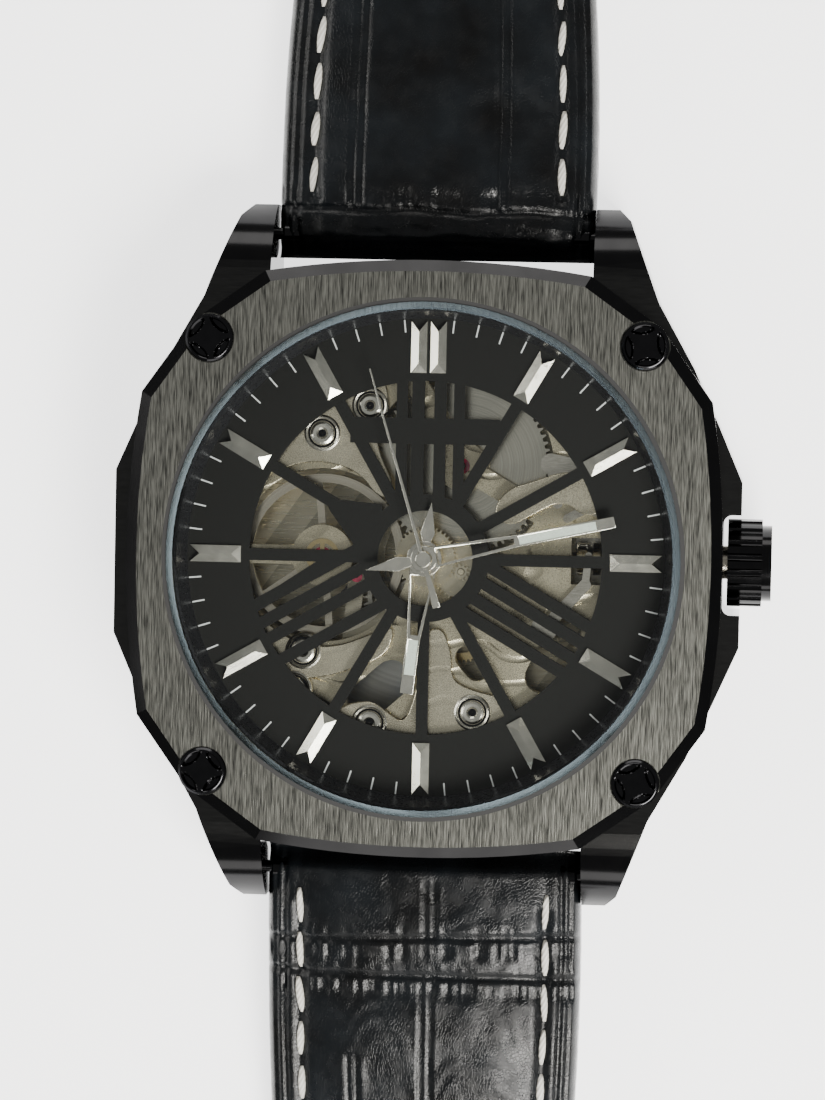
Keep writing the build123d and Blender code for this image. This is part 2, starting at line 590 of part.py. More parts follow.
with BuildPart() as escape_wheel:
    gear(ESCAPE, 8, FOURTH_MODULE, ESCAPE_ANGLE + 180 + 22.5, 4.0, 4.35)
    plate_disc(ESCAPE, 0.1, 3.15, 6.4)
    with BuildSketch(at(5.5)):
        with Locations(ESCAPE):
            Circle(1.35)
        with BuildLine():
            saw_teeth = []
            for tooth in range(20):
                for radius, share in ((1.3, 0.0), (2.0, 0.1), (1.95, 0.3), (1.3, 0.45)):
                    turn = radians(18 * (tooth + share))
                    saw_teeth.append((ESCAPE[0] + radius * cos(turn), ESCAPE[1] + radius * sin(turn)))
            Polyline(*saw_teeth, close=True)
        make_face()
    extrude(amount=0.15)
    spoke_windows(ESCAPE, 1.05, 0.4, 5, 0.2, 5.5, 5.65)
save(escape_wheel, "escape_wheel")

# The fork points at the balance; its pallets straddle the escape wheel with clearance.
FORK_ANGLE = degrees(atan2(BALANCE[1] - PALLET[1], BALANCE[0] - PALLET[0]))


def fork_point(along, across):
    """A point in the fork's own axes, along towards the balance staff."""
    turn = radians(FORK_ANGLE)
    return (
        PALLET[0] + along * cos(turn) - across * sin(turn),
        PALLET[1] + along * sin(turn) + across * cos(turn),
    )


with BuildPart() as pallet_fork:
    plate_bar(fork_point(0, 0), fork_point(1.3, 0), 0.35, 5.5, 5.65)
    for side in (1, -1):
        plate_bar(fork_point(1.3, 0), fork_point(1.75, side * 0.3), 0.16, 5.5, 5.65)
        plate_bar(fork_point(0, 0), fork_point(0.15, side * 1.7), 0.3, 5.5, 5.65)
    plate_disc(PALLET, 0.2, 4.2, 5.8)
    plate_disc(PALLET, 0.1, 3.15, 6.4)
    for side in (1, -1):
        plate_bar(fork_point(0.12, side * 1.7), fork_point(-0.3, side * 1.76), 0.2, 5.65, 5.8)
save(pallet_fork, "pallet_fork")

with BuildPart() as balance_wheel:
    plate_ring(BALANCE, 5.55, 4.95, 6.75, 7.35)
    for arm in range(2):
        with BuildSketch(at(6.85)):
            with Locations(Location((BALANCE[0], BALANCE[1], 0), (0, 0, 35 + 60 * arm))):
                Rectangle(10.2, 0.5)
        extrude(amount=0.3)
    plate_disc(BALANCE, 0.75, 6.75, 7.3)
    plate_disc(BALANCE, 0.3, 5.0, 7.6)
    plate_disc(BALANCE, 0.45, 5.85, 6.1)
    plate_disc(BALANCE, 0.1, 4.3, 8.2)
    plate_ring(BALANCE, 0.7, 0.3, 5.3, 5.45)
    plate_disc((BALANCE[0] + 0.52 * cos(radians(FORK_ANGLE + 180)),
                BALANCE[1] + 0.52 * sin(radians(FORK_ANGLE + 180))), 0.1, 5.45, 5.7)
save(balance_wheel, "balance_wheel")

# ---- Movement: motion works and hands ----
with BuildPart() as minute_wheel:
    gear(MINUTE_WORK, 36, 2 * MINUTE_WORK_DISTANCE / 48, MINUTE_WORK_ANGLE + 180 + 5, 7.9, 8.1)
    gear(MINUTE_WORK, 10, 2 * MINUTE_WORK_DISTANCE / 50, MINUTE_WORK_ANGLE + 180 + 18, 8.1, 8.5)
    plate_disc(MINUTE_WORK, 0.25, 7.8, 8.6, Mode.SUBTRACT)
save(minute_wheel, "minute_wheel")

with BuildPart() as hour_wheel:
    gear(CENTRE, 40, 2 * MINUTE_WORK_DISTANCE / 50, MINUTE_WORK_ANGLE, 8.25, 8.45)
    plate_disc(CENTRE, 0.85, 8.45, 9.6)
    plate_disc(CENTRE, 0.56, 8.2, 9.7, Mode.SUBTRACT)
save(hour_wheel, "hour_wheel")


def rail_hand(angle, height, rail_root, rail_mid, lume_end, tip, tail, hub, hub_hole, thickness):
    """A skeleton hand: two converging rails, a filled outer stretch, a spear tail and a hub ring."""
    root_half, mid_half = rail_root / 2, rail_mid / 2
    with BuildSketch(clock_plane(angle, height)) as outline:
        with BuildLine():
            Polyline((-root_half, 0), (-mid_half, lume_end), (-mid_half, tip),
                     (mid_half, tip), (mid_half, lume_end), (root_half, 0), close=True)
        make_face()
        with BuildLine():
            Polyline((-root_half + 0.25, hub - 0.1), (-mid_half + 0.22, lume_end - 0.3),
                     (mid_half - 0.22, lume_end - 0.3), (root_half - 0.25, hub - 0.1), close=True)
        make_face(mode=Mode.SUBTRACT)
        with BuildLine():
            Polyline((-0.28, 0), (0.28, 0), (0.38, -tail * 0.7), (0, -tail), (-0.38, -tail * 0.7),
                     close=True)
        make_face()
        Circle(hub)
        Circle(hub_hole, mode=Mode.SUBTRACT)
    extrude(outline.sketch, amount=thickness)


with BuildPart() as hour_hand:
    rail_hand(HOUR_ANGLE, 9.4, 1.9, 0.95, 5.6, 9.3, 3.9, 1.25, 0.85, 0.15)
save(hour_hand, "hour_hand")

with BuildPart() as minute_hand:
    rail_hand(MINUTE_ANGLE, 9.9, 1.5, 0.8, 6.6, 13.2, 4.05, 0.95, 0.5, 0.15)
save(minute_hand, "minute_hand")

with BuildPart() as second_hand:
    with BuildSketch(clock_plane(SECOND_ANGLE, 10.4)):
        with BuildLine():
            Polyline((-0.14, 0), (-0.07, 13.4), (0.07, 13.4), (0.14, 0), (0.27, -3.4), (-0.27, -3.4),
                     close=True)
        make_face()
        Circle(0.55)
        Circle(0.18, mode=Mode.SUBTRACT)
    extrude(amount=0.12)
save(second_hand, "second_hand")

# ---- Crown, stem and winding works. The stem runs along +X at the crown's height. ----


def x_disc(radius, start, end, mode=Mode.ADD):
    """A disc round the stem axis between two X positions."""
    with BuildSketch(Plane.YZ.offset(start)) as outline:
        with Locations((0, CROWN_Z)):
            Circle(radius)
    extrude(outline.sketch, amount=end - start, mode=mode)


with BuildPart() as crown:
    with BuildSketch(Plane.YZ.offset(20.5)):
        with Locations((0, CROWN_Z)):
            Circle(3.0)
            with PolarLocations(3.1, 18):
                Circle(0.3, mode=Mode.SUBTRACT)
    extrude(amount=2.35)
    x_disc(2.6, 22.85, 23.5)
    x_disc(1.25, 20.5, 21.6, Mode.SUBTRACT)
save(crown, "crown")

with BuildPart() as winding_stem:
    x_disc(0.7, 17.0, 21.6)
    x_disc(0.45, 9.0, 17.0)
save(winding_stem, "winding_stem")

with BuildPart() as crown_seal:
    x_disc(0.77, 19.2, 19.7)
    x_disc(0.7, 19.2, 19.7, Mode.SUBTRACT)
save(crown_seal, "crown_seal")


def stem_gear(teeth, pitch_radius, start, end, tooth_angle):
    """A small gear round the stem axis with radial straight-sided teeth."""
    stem_plane = Plane(origin=(start, 0, CROWN_Z), x_dir=(0, 1, 0), z_dir=(1, 0, 0))
    with BuildSketch(stem_plane) as outline:
        with BuildLine():
            Polyline(*gear_points(teeth, 2 * pitch_radius / teeth, tooth_angle), close=True)
        make_face()
    extrude(outline.sketch, amount=end - start)


with BuildPart() as winding_pinion:
    stem_gear(14, 1.2, 12.2, 13.5, -90)
    x_disc(0.95, 11.9, 12.2)
    x_disc(0.5, 11.8, 13.6, Mode.SUBTRACT)
save(winding_pinion, "winding_pinion")

with BuildPart() as sliding_pinion:
    x_disc(1.1, 11.3, 11.8)
    x_disc(0.75, 10.9, 11.3)
    stem_gear(14, 1.0, 10.2, 10.9, 0)
    x_disc(0.5, 10.0, 12.0, Mode.SUBTRACT)
save(sliding_pinion, "sliding_pinion")

WINDING_DISTANCE = hypot(CROWN_WHEEL[0] - BARREL[0], CROWN_WHEEL[1] - BARREL[1])
WINDING_ANGLE = degrees(atan2(BARREL[1] - CROWN_WHEEL[1], BARREL[0] - CROWN_WHEEL[0]))
WINDING_MODULE = 2 * WINDING_DISTANCE / (36 + 40)

with BuildPart() as crown_wheel:
    gear(CROWN_WHEEL, 36, WINDING_MODULE, WINDING_ANGLE, 2.65, 3.0, 0.85)
    with BuildSketch(at(3.0)):
        for tooth in range(42):
            turn = 360 / 42 * (tooth + 0.5)
            with Locations(Location((CROWN_WHEEL[0], CROWN_WHEEL[1], 0), (0, 0, turn))):
                with Locations((3.5, 0)):
                    Rectangle(0.6, 0.14)
    extrude(amount=0.56)
save(crown_wheel, "crown_wheel")

with BuildPart() as ratchet_wheel:
    gear(BARREL, 40, WINDING_MODULE, WINDING_ANGLE + 180 + 4.5, 2.65, 3.0, 0.5)
save(ratchet_wheel, "ratchet_wheel")

with BuildPart() as barrel_arbor:
    plate_disc(BARREL, 0.5, 2.65, 5.2)
    plate_disc(BARREL, 0.58, 5.2, 6.6)
    plate_disc(BARREL, 1.35, 5.45, 6.25)
    plate_disc(BARREL, 0.23, 6.6, 7.7)
    plate_disc(BARREL, 1.2, 2.45, 2.65)
    plate_bar((BARREL[0] - 1.4, BARREL[1]), (BARREL[0] + 1.4, BARREL[1]), 0.25, 2.4, 2.53, Mode.SUBTRACT)
save(barrel_arbor, "barrel_arbor")

with BuildPart() as click:
    plate_ring(CLICK_PIVOT, 0.7, 0.34, BRIDGE_BOTTOM - 0.35, BRIDGE_BOTTOM - 0.05)
    plate_bar((-3.9, 6.55), (-3.25, 6.35), 0.4, BRIDGE_BOTTOM - 0.35, BRIDGE_BOTTOM - 0.05)
    plate_disc(CLICK_PIVOT, 0.34, BRIDGE_BOTTOM - 0.5, BRIDGE_BOTTOM, Mode.SUBTRACT)
save(click, "click")

with BuildPart() as setting_lever:
    plate_disc(SETTING_PIVOT, 0.9, 7.9, 8.2)
    plate_bar(SETTING_PIVOT, (12.7, 1.9), 0.9, 7.9, 8.2)
    plate_bar(SETTING_PIVOT, (9.6, 2.9), 0.6, 7.9, 8.2)
save(setting_lever, "setting_lever")

with BuildPart() as yoke:
    plate_disc(YOKE_PIVOT, 0.9, 7.9, 8.2)
    plate_bar(YOKE_PIVOT, (10.9, -1.6), 0.8, 7.9, 8.2)
    plate_bar((10.9, -1.6), (11.1, 0.4), 0.5, 7.9, 8.2)
save(yoke, "yoke")

# ---- Winding rotor ----
with BuildPart() as rotor:
    with BuildSketch(at(ROTOR_BOTTOM)):
        Circle(15.1)
        with Locations((0, 1.2)):
            Rectangle(32, 20, align=(Align.CENTER, Align.MIN), mode=Mode.SUBTRACT)
        Circle(2.2)
        Circle(0.62, mode=Mode.SUBTRACT)
    extrude(amount=ROTOR_TOP - ROTOR_BOTTOM)
    with BuildSketch(at(ROTOR_TOP)):
        Circle(15.1)
        Circle(14.75, mode=Mode.SUBTRACT)
        with Locations((0, 0)):
            Rectangle(32, 20, align=(Align.CENTER, Align.MIN), mode=Mode.SUBTRACT)
    extrude(amount=0.35)
save(rotor, "rotor")

with BuildPart() as rotor_bearing:
    plate_disc(CENTRE, 1.2, 2.4, BRIDGE_BOTTOM)
    plate_disc(CENTRE, 0.56, 1.98, 2.4)
    plate_disc(CENTRE, 1.0, 1.68, 1.98)
    plate_bar((-1.2, 0), (1.2, 0), 0.22, 1.6, 1.8, Mode.SUBTRACT)
save(rotor_bearing, "rotor_bearing")

with BuildPart() as rotor_weight:
    with BuildSketch(at(ROTOR_BOTTOM - 0.45)):
        Circle(14.4)
        Circle(12.2, mode=Mode.SUBTRACT)
        with Locations((0, 1.0)):
            Rectangle(32, 20, align=(Align.CENTER, Align.MIN), mode=Mode.SUBTRACT)
    extrude(amount=0.45)
save(rotor_weight, "rotor_weight")

# ---- Strap, keepers and buckle. Profiles are drawn in the YZ plane and cut to the plan. ----
KEEPER_FREE_Y = 82.0
KEEPER_FIXED_Y = 90.5
BUCKLE_Z = 2.3
STRAP_LIFT = 1.15
STRAP_THIN = 2.3


def strap_plan(points):
    """A tall block with the strap's outline seen from above."""
    with BuildPart() as block:
        with BuildSketch(at(-1)):
            with BuildLine():
                Polyline(*points, close=True)
            make_face()
        extrude(amount=12)
    return block.part


long_taper = [(STRAP_HALF_WIDTH, 19), (STRAP_HALF_WIDTH, 28), (STRAP_END_HALF_WIDTH, 62),
              (STRAP_END_HALF_WIDTH, 100)]
strap_12_plan = strap_plan(long_taper + [(-x, y) for x, y in reversed(long_taper)])

with BuildPart() as strap_12:
    with BuildSketch(Plane.YZ.offset(-STRAP_HALF_WIDTH)):
        with BuildLine():
            Line((BAR_Y, BAR_Z + 1.7), (BAR_Y + 6, BAR_Z + 1.1))
            Spline((BAR_Y + 6, BAR_Z + 1.1), (46, 3.9), (64, STRAP_LIFT + STRAP_THIN),
                   tangents=((1, -0.08), (1, 0)))
            Line((64, STRAP_LIFT + STRAP_THIN), (BUCKLE_Y, BUCKLE_Z + 1.15))
            ThreePointArc((BUCKLE_Y, BUCKLE_Z + 1.15), (BUCKLE_Y + 1.15, BUCKLE_Z),
                          (BUCKLE_Y, BUCKLE_Z - 1.15))
            Line((BUCKLE_Y, BUCKLE_Z - 1.15), (64, STRAP_LIFT))
            Line((64, STRAP_LIFT), (56, 0))
            Line((56, 0), (36, 0))
            ThreePointArc((36, 0), (28.6, 0.75), (BAR_Y, BAR_Z - 1.7))
            ThreePointArc((BAR_Y, BAR_Z - 1.7), (BAR_Y - 1.7, BAR_Z), (BAR_Y, BAR_Z + 1.7))
        make_face()
        with Locations((BAR_Y, BAR_Z)):
            Circle(0.82, mode=Mode.SUBTRACT)
        with Locations((BUCKLE_Y, BUCKLE_Z)):
            Circle(0.76, mode=Mode.SUBTRACT)
    extrude(amount=2 * STRAP_HALF_WIDTH)
    add(strap_12_plan, mode=Mode.INTERSECT)
    with BuildSketch(at(0)):
        with Locations((0, 97.5)):
            Rectangle(3.0, 6.0)
    extrude(amount=6, mode=Mode.SUBTRACT)
save(strap_12, "strap_12")

tip_taper = [(STRAP_HALF_WIDTH, -19), (STRAP_HALF_WIDTH, -28), (STRAP_END_HALF_WIDTH, -75),
             (STRAP_END_HALF_WIDTH, LONG_END_Y + 8), (7.0, LONG_END_Y + 4), (4.0, LONG_END_Y + 1)]
strap_6_plan = strap_plan(tip_taper + [(0, LONG_END_Y)] + [(-x, y) for x, y in reversed(tip_taper)])

with BuildPart() as strap_6:
    with BuildSketch(Plane.YZ.offset(-STRAP_HALF_WIDTH)):
        with BuildLine():
            Line((-BAR_Y, BAR_Z + 1.7), (-BAR_Y - 6, BAR_Z + 1.1))
            Spline((-BAR_Y - 6, BAR_Z + 1.1), (-46, 3.5), (-70, STRAP_THIN),
                   tangents=((-1, -0.08), (-1, 0)))
            Line((-70, STRAP_THIN), (LONG_END_Y, STRAP_THIN))
            Line((LONG_END_Y, STRAP_THIN), (LONG_END_Y, 0))
            Line((LONG_END_Y, 0), (-36, 0))
            ThreePointArc((-36, 0), (-28.6, 0.75), (-BAR_Y, BAR_Z - 1.7))
            ThreePointArc((-BAR_Y, BAR_Z - 1.7), (-BAR_Y + 1.7, BAR_Z), (-BAR_Y, BAR_Z + 1.7))
        make_face()
        with Locations((-BAR_Y, BAR_Z)):
            Circle(0.82, mode=Mode.SUBTRACT)
    extrude(amount=2 * STRAP_HALF_WIDTH)
    add(strap_6_plan, mode=Mode.INTERSECT)
    with BuildSketch(at(-1)):
        with Locations(*[(0, -88 - 6.5 * hole) for hole in range(7)]):
            Circle(1.1)
    extrude(amount=6, mode=Mode.SUBTRACT)
save(strap_6, "strap_6")


def keeper_loop(middle_y, length, inner_half, inner_top, wall):
    """A closed leather loop round the strap, standing on the same plane as the case back."""
    with BuildSketch(Plane.XZ.offset(-middle_y - length / 2)) as outline:
        with Locations((0, (inner_top + wall) / 2)):
            RectangleRounded(2 * (inner_half + wall), inner_top + wall, 0.9)
        with Locations((0, (inner_top + wall) / 2)):
            RectangleRounded(2 * inner_half, inner_top - wall, 0.4, mode=Mode.SUBTRACT)
    extrude(outline.sketch, amount=length)


with BuildPart() as keeper_fixed:
    keeper_loop(KEEPER_FIXED_Y, 5.0, 9.3, 5.8, 1.0)
save(keeper_fixed, "keeper_fixed")

with BuildPart() as keeper_free:
    keeper_loop(KEEPER_FREE_Y, 6.0, 9.3, 5.8, 1.0)
save(keeper_free, "keeper_free")

with BuildPart() as buckle_frame:
    with BuildSketch(at(1.3)):
        with Locations((0, 102.2)):
            RectangleRounded(23.6, 13.6, 2.2)
            RectangleRounded(19.4, 8.6, 1.0, mode=Mode.SUBTRACT)
            with Locations((0, -5.0)):
                Rectangle(19.4, 4.0, mode=Mode.SUBTRACT)
    extrude(amount=2.0)
    chamfer(buckle_frame.faces().sort_by(Axis.Z)[-1].outer_wire().edges(), 0.35)
    with BuildSketch(Plane.YZ.offset(-11.5)):
        with Locations((BUCKLE_Y, BUCKLE_Z)):
            Circle(0.7)
    extrude(amount=23.0, mode=Mode.SUBTRACT)
save(buckle_frame, "buckle_frame")

with BuildPart() as buckle_bar:
    with BuildSketch(Plane.YZ.offset(-11.4)):
        with Locations((BUCKLE_Y, BUCKLE_Z)):
            Circle(0.68)
    extrude(amount=22.8)
save(buckle_bar, "buckle_bar")

with BuildPart() as buckle_tongue:
    with BuildSketch(Plane.YZ.offset(-0.95)):
        with Locations((BUCKLE_Y, BUCKLE_Z)):
            Circle(1.3)
        with BuildLine():
            Polyline((BUCKLE_Y, BUCKLE_Z + 0.4), (BUCKLE_Y, BUCKLE_Z + 1.3), (99.5, 4.1), (107.8, 4.4),
                     (108.6, 3.9), (108.4, 3.4), (100.5, 3.36), (98.2, BUCKLE_Z), close=True)
        make_face()
        with Locations((BUCKLE_Y, BUCKLE_Z)):
            Circle(0.74, mode=Mode.SUBTRACT)
    extrude(amount=1.9)
save(buckle_tongue, "buckle_tongue")
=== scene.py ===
import math

import bpy
from mathutils import Matrix, Vector, noise


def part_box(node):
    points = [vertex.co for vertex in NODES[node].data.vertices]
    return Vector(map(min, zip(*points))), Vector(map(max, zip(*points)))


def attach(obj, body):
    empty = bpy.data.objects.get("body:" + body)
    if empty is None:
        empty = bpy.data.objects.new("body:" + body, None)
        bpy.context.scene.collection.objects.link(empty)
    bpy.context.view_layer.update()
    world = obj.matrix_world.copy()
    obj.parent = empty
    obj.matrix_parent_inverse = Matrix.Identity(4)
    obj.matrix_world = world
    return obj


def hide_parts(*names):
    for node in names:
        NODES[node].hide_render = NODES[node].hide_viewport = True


# A skeleton wristwatch. Lengths below are in millimetres and are turned into metres by MM.
MM = 0.001
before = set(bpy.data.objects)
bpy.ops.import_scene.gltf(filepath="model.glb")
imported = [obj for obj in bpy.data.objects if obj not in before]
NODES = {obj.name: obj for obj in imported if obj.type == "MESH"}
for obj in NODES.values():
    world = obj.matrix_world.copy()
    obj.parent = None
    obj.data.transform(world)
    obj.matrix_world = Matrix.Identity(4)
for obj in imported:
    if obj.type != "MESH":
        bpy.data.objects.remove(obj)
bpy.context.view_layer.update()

# ---- Places read from the frame, in millimetres ----


def box_mm(node):
    """Lowest and highest corner of a CAD node."""
    low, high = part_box(node)
    return [c / MM for c in low], [c / MM for c in high]


def centre_mm(node):
    """Middle of a CAD node, seen from above."""
    low, high = box_mm(node)
    return (low[0] + high[0]) / 2, (low[1] + high[1]) / 2


DIAL_TOP = box_mm("dial")[1][2]
BAR_ROLL = 1.7
BAR_Y = box_mm("strap_12")[0][1] + BAR_ROLL
BAR_Z = 4.3

# ---- Time shown, clockwise from 12 ----
HOUR_ANGLE = 186.5
MINUTE_ANGLE = 77.7
SECOND_ANGLE = 343.2


# ---- Mesh helpers ----
def mesh_object(name, verts, faces, smooth=False):
    """A mesh object from vertices in millimetres."""
    mesh = bpy.data.meshes.new(name)
    mesh.from_pydata([(x * MM, y * MM, z * MM) for x, y, z in verts], [], faces)
    mesh.validate()
    mesh.update()
    for polygon in mesh.polygons:
        polygon.use_smooth = smooth
    obj = bpy.data.objects.new(name, mesh)
    bpy.context.scene.collection.objects.link(obj)
    return obj


def plate_object(name, loops, bottom, top, bevel=0.0, turn=0.0, centre=(0.0, 0.0)):
    """A flat plate with holes: closed 2-D loops filled, thickened and bevelled, then turned clockwise."""
    curve = bpy.data.curves.new(name, "CURVE")
    curve.dimensions = "2D"
    curve.fill_mode = "BOTH"
    curve.bevel_depth = bevel * MM
    curve.bevel_resolution = 1
    curve.offset = -bevel * MM
    curve.extrude = max((top - bottom) / 2 - bevel, 0.001) * MM
    cosine, sine = math.cos(math.radians(turn)), math.sin(math.radians(turn))
    for loop in loops:
        spline = curve.splines.new("POLY")
        spline.points.add(len(loop) - 1)
        spline.use_cyclic_u = True
        for point, (x, y) in zip(spline.points, loop):
            across = x * cosine + y * sine + centre[0]
            along = -x * sine + y * cosine + centre[1]
            point.co = (across * MM, along * MM, 0, 1)
    holder = bpy.data.objects.new(name + "_curve", curve)
    bpy.context.scene.collection.objects.link(holder)
    bpy.context.view_layer.update()
    mesh = bpy.data.meshes.new_from_object(holder)
    bpy.data.objects.remove(holder)
    for vertex in mesh.vertices:
        vertex.co.z += (top + bottom) / 2 * MM
    obj = bpy.data.objects.new(name, mesh)
    bpy.context.scene.collection.objects.link(obj)
    return obj


def circle_points(radius, count=48, x=0.0, y=0.0):
    """Points round a circle."""
    return [
        (x + radius * math.cos(2 * math.pi * k / count), y + radius * math.sin(2 * math.pi * k / count))
        for k in range(count)
    ]


def clock_point(angle, radius, across=0.0):
    """A dial point at a clockwise angle, moved across to the right of that direction."""
    turn = math.radians(angle)
    return (
        radius * math.sin(turn) + across * math.cos(turn),
        radius * math.cos(turn) - across * math.sin(turn),
    )


# ---- Material helpers ----
def new_material(name, colour, metallic=0.0, roughness=0.5, **sockets):
    """A Principled material and its tree, with uniform values on the shader's own sockets."""
    material = bpy.data.materials.new(name)
    material.use_nodes = True
    shader = material.node_tree.nodes["Principled BSDF"]
    shader.inputs["Base Color"].default_value = (*colour, 1)
    shader.inputs["Metallic"].default_value = metallic
    shader.inputs["Roughness"].default_value = roughness
    for socket, value in sockets.items():
        shader.inputs[socket.replace("_", " ")].default_value = value
    return material, material.node_tree, shader


def add_node(tree, kind, **values):
    """A node with its own properties, or else its input sockets, set by name."""
    node = tree.nodes.new(kind)
    for key, value in values.items():
        if hasattr(node, key):
            setattr(node, key, value)
        else:
            node.inputs[key.replace("_", " ")].default_value = value
    return node


def mm_coordinates(tree, scale=(1, 1, 1), offset=(0, 0, 0), turn=0.0):
    """Object coordinates in millimetres, stretched, shifted and turned about Z."""
    source = tree.nodes.new("ShaderNodeTexCoord")
    to_mm = add_node(tree, "ShaderNodeMapping")
    to_mm.inputs["Scale"].default_value = (1 / MM, 1 / MM, 1 / MM)
    to_mm.inputs["Location"].default_value = (-offset[0], -offset[1], -offset[2])
    stretch = add_node(tree, "ShaderNodeMapping")
    stretch.inputs["Scale"].default_value = scale
    stretch.inputs["Rotation"].default_value = (0, 0, math.radians(turn))
    tree.links.new(source.outputs["Object"], to_mm.inputs["Vector"])
    tree.links.new(to_mm.outputs["Vector"], stretch.inputs["Vector"])
    return stretch.outputs["Vector"]


def noise_value(tree, vector, scale=1.0, detail=3.0):
    """Cloudy noise, 0 to 1, over coordinates in millimetres."""
    node = add_node(tree, "ShaderNodeTexNoise", Scale=scale, Detail=detail)
    tree.links.new(vector, node.inputs["Vector"])
    return node.outputs["Fac"]


def ramp(tree, value, low, high, low_at=0.3, high_at=0.7):
    """A value turned into a value between two limits, or a colour between two colours."""
    if isinstance(low, float):
        node = tree.nodes.new("ShaderNodeMapRange")
        node.inputs["From Min"].default_value = low_at
        node.inputs["From Max"].default_value = high_at
        node.inputs["To Min"].default_value = low
        node.inputs["To Max"].default_value = high
        tree.links.new(value, node.inputs["Value"])
        return node.outputs["Result"]
    node = tree.nodes.new("ShaderNodeValToRGB")
    node.color_ramp.elements[0].position = low_at
    node.color_ramp.elements[0].color = (*low, 1)
    node.color_ramp.elements[1].position = high_at
    node.color_ramp.elements[1].color = (*high, 1)
    tree.links.new(value, node.inputs["Fac"])
    return node.outputs["Color"]


def bump(tree, shader, height, distance_mm, strength=1.0):
    """Drive a shader's normal from a height."""
    node = add_node(tree, "ShaderNodeBump")
    node.inputs["Strength"].default_value = strength
    node.inputs["Distance"].default_value = distance_mm * MM
    tree.links.new(height, node.inputs["Height"])
    tree.links.new(node.outputs["Normal"], shader.inputs["Normal"])


def facing_up(tree, low=0.93, high=0.98):
    """1 on faces that look along +Z, 0 on bevels and sides."""
    geometry = tree.nodes.new("ShaderNodeNewGeometry")
    split = tree.nodes.new("ShaderNodeSeparateXYZ")
    tree.links.new(geometry.outputs["True Normal"], split.inputs["Vector"])
    return ramp(tree, split.outputs["Z"], 0.0, 1.0, low, high)


def times(tree, a, b):
    """The product of two values, each an output socket or a number."""
    node = add_node(tree, "ShaderNodeMath", operation="MULTIPLY")
    for index, value in enumerate((a, b)):
        if isinstance(value, (int, float)):
            node.inputs[index].default_value = value
        else:
            tree.links.new(value, node.inputs[index])
    return node.outputs["Value"]


# ---- Materials ----
def polished_metal(name, colour, roughness, variation=0.04):
    """Polished metal with a faint unevenness of polish."""
    material, tree, shader = new_material(name, colour, 1.0, roughness)
    cloud = noise_value(tree, mm_coordinates(tree), 1.3, 4)
    tree.links.new(ramp(tree, cloud, roughness, roughness + variation), shader.inputs["Roughness"])
    dark = tuple(c * 0.85 for c in colour)
    tree.links.new(ramp(tree, cloud, dark, colour), shader.inputs["Base Color"])
    fine = noise_value(tree, mm_coordinates(tree), 9.0, 2)
    bump(tree, shader, fine, 0.002, 0.3)
    return material


def brushed_metal(name, colour, dark, roughness, scale, turn=0.0, depth=0.006, edge=None):
    """Straight-brushed metal. With an edge colour, only the faces that look up are brushed."""
    material, tree, shader = new_material(name, colour, 1.0, roughness)
    streaks = noise_value(tree, mm_coordinates(tree, scale, turn=turn), 1.0, 5)
    brushed = ramp(tree, streaks, dark, colour, 0.32, 0.68)
    if edge:
        top = facing_up(tree)
        tree.links.new(ramp(tree, top, 0.12, roughness, 0.0, 1.0), shader.inputs["Roughness"])
        streaks = times(tree, streaks, top)
        mix = add_node(tree, "ShaderNodeMix", data_type="RGBA")
        cloud = noise_value(tree, mm_coordinates(tree), 0.4, 3)
        polish = ramp(tree, cloud, tuple(c * 0.8 for c in edge), edge)
        tree.links.new(top, mix.inputs[0])
        tree.links.new(polish, mix.inputs[6])
        tree.links.new(brushed, mix.inputs[7])
        brushed = mix.outputs[2]
    tree.links.new(brushed, shader.inputs["Base Color"])
    bump(tree, shader, streaks, depth, 0.6)
    return material


def grained_plate(name, colour, dark, roughness, engraving=0.06):
    """Fine sand-blasted plating with a slow drift of tone and engraved scrolls."""
    material, tree, shader = new_material(name, colour, 1.0, roughness)
    drift = noise_value(tree, mm_coordinates(tree), 0.25, 3)
    tree.links.new(ramp(tree, drift, dark, colour), shader.inputs["Base Color"])
    grain = noise_value(tree, mm_coordinates(tree), 16.0, 2)
    tree.links.new(ramp(tree, grain, roughness - 0.08, roughness + 0.1), shader.inputs["Roughness"])
    scroll = add_node(tree, "ShaderNodeTexWave", Scale=0.16, Distortion=9.0, Detail=1.5)
    scroll.wave_type = "RINGS"
    tree.links.new(mm_coordinates(tree), scroll.inputs["Vector"])
    cut = ramp(tree, scroll.outputs["Fac"], 0.0, 1.0, 0.0, 0.16)
    both = add_node(tree, "ShaderNodeMath", operation="MULTIPLY_ADD")
    both.inputs[1].default_value = 0.08
    tree.links.new(grain, both.inputs[0])
    tree.links.new(cut, both.inputs[2])
    bump(tree, shader, both.outputs["Value"], engraving, 0.8)
    return material


def circular_brush(name, colour, dark, roughness, centre, spacing=5.0):
    """Metal brushed in circles round a centre."""
    material, tree, shader = new_material(name, colour, 1.0, roughness)
    flat = mm_coordinates(tree, (1, 1, 0), offset=(centre[0], centre[1], 0))
    length = add_node(tree, "ShaderNodeVectorMath", operation="LENGTH")
    tree.links.new(flat, length.inputs[0])
    combine = tree.nodes.new("ShaderNodeCombineXYZ")
    tree.links.new(length.outputs["Value"], combine.inputs["X"])
    rings = noise_value(tree, combine.outputs["Vector"], spacing, 4)
    tree.links.new(ramp(tree, rings, dark, colour, 0.3, 0.7), shader.inputs["Base Color"])
    bump(tree, shader, rings, 0.004, 0.5)
    return material


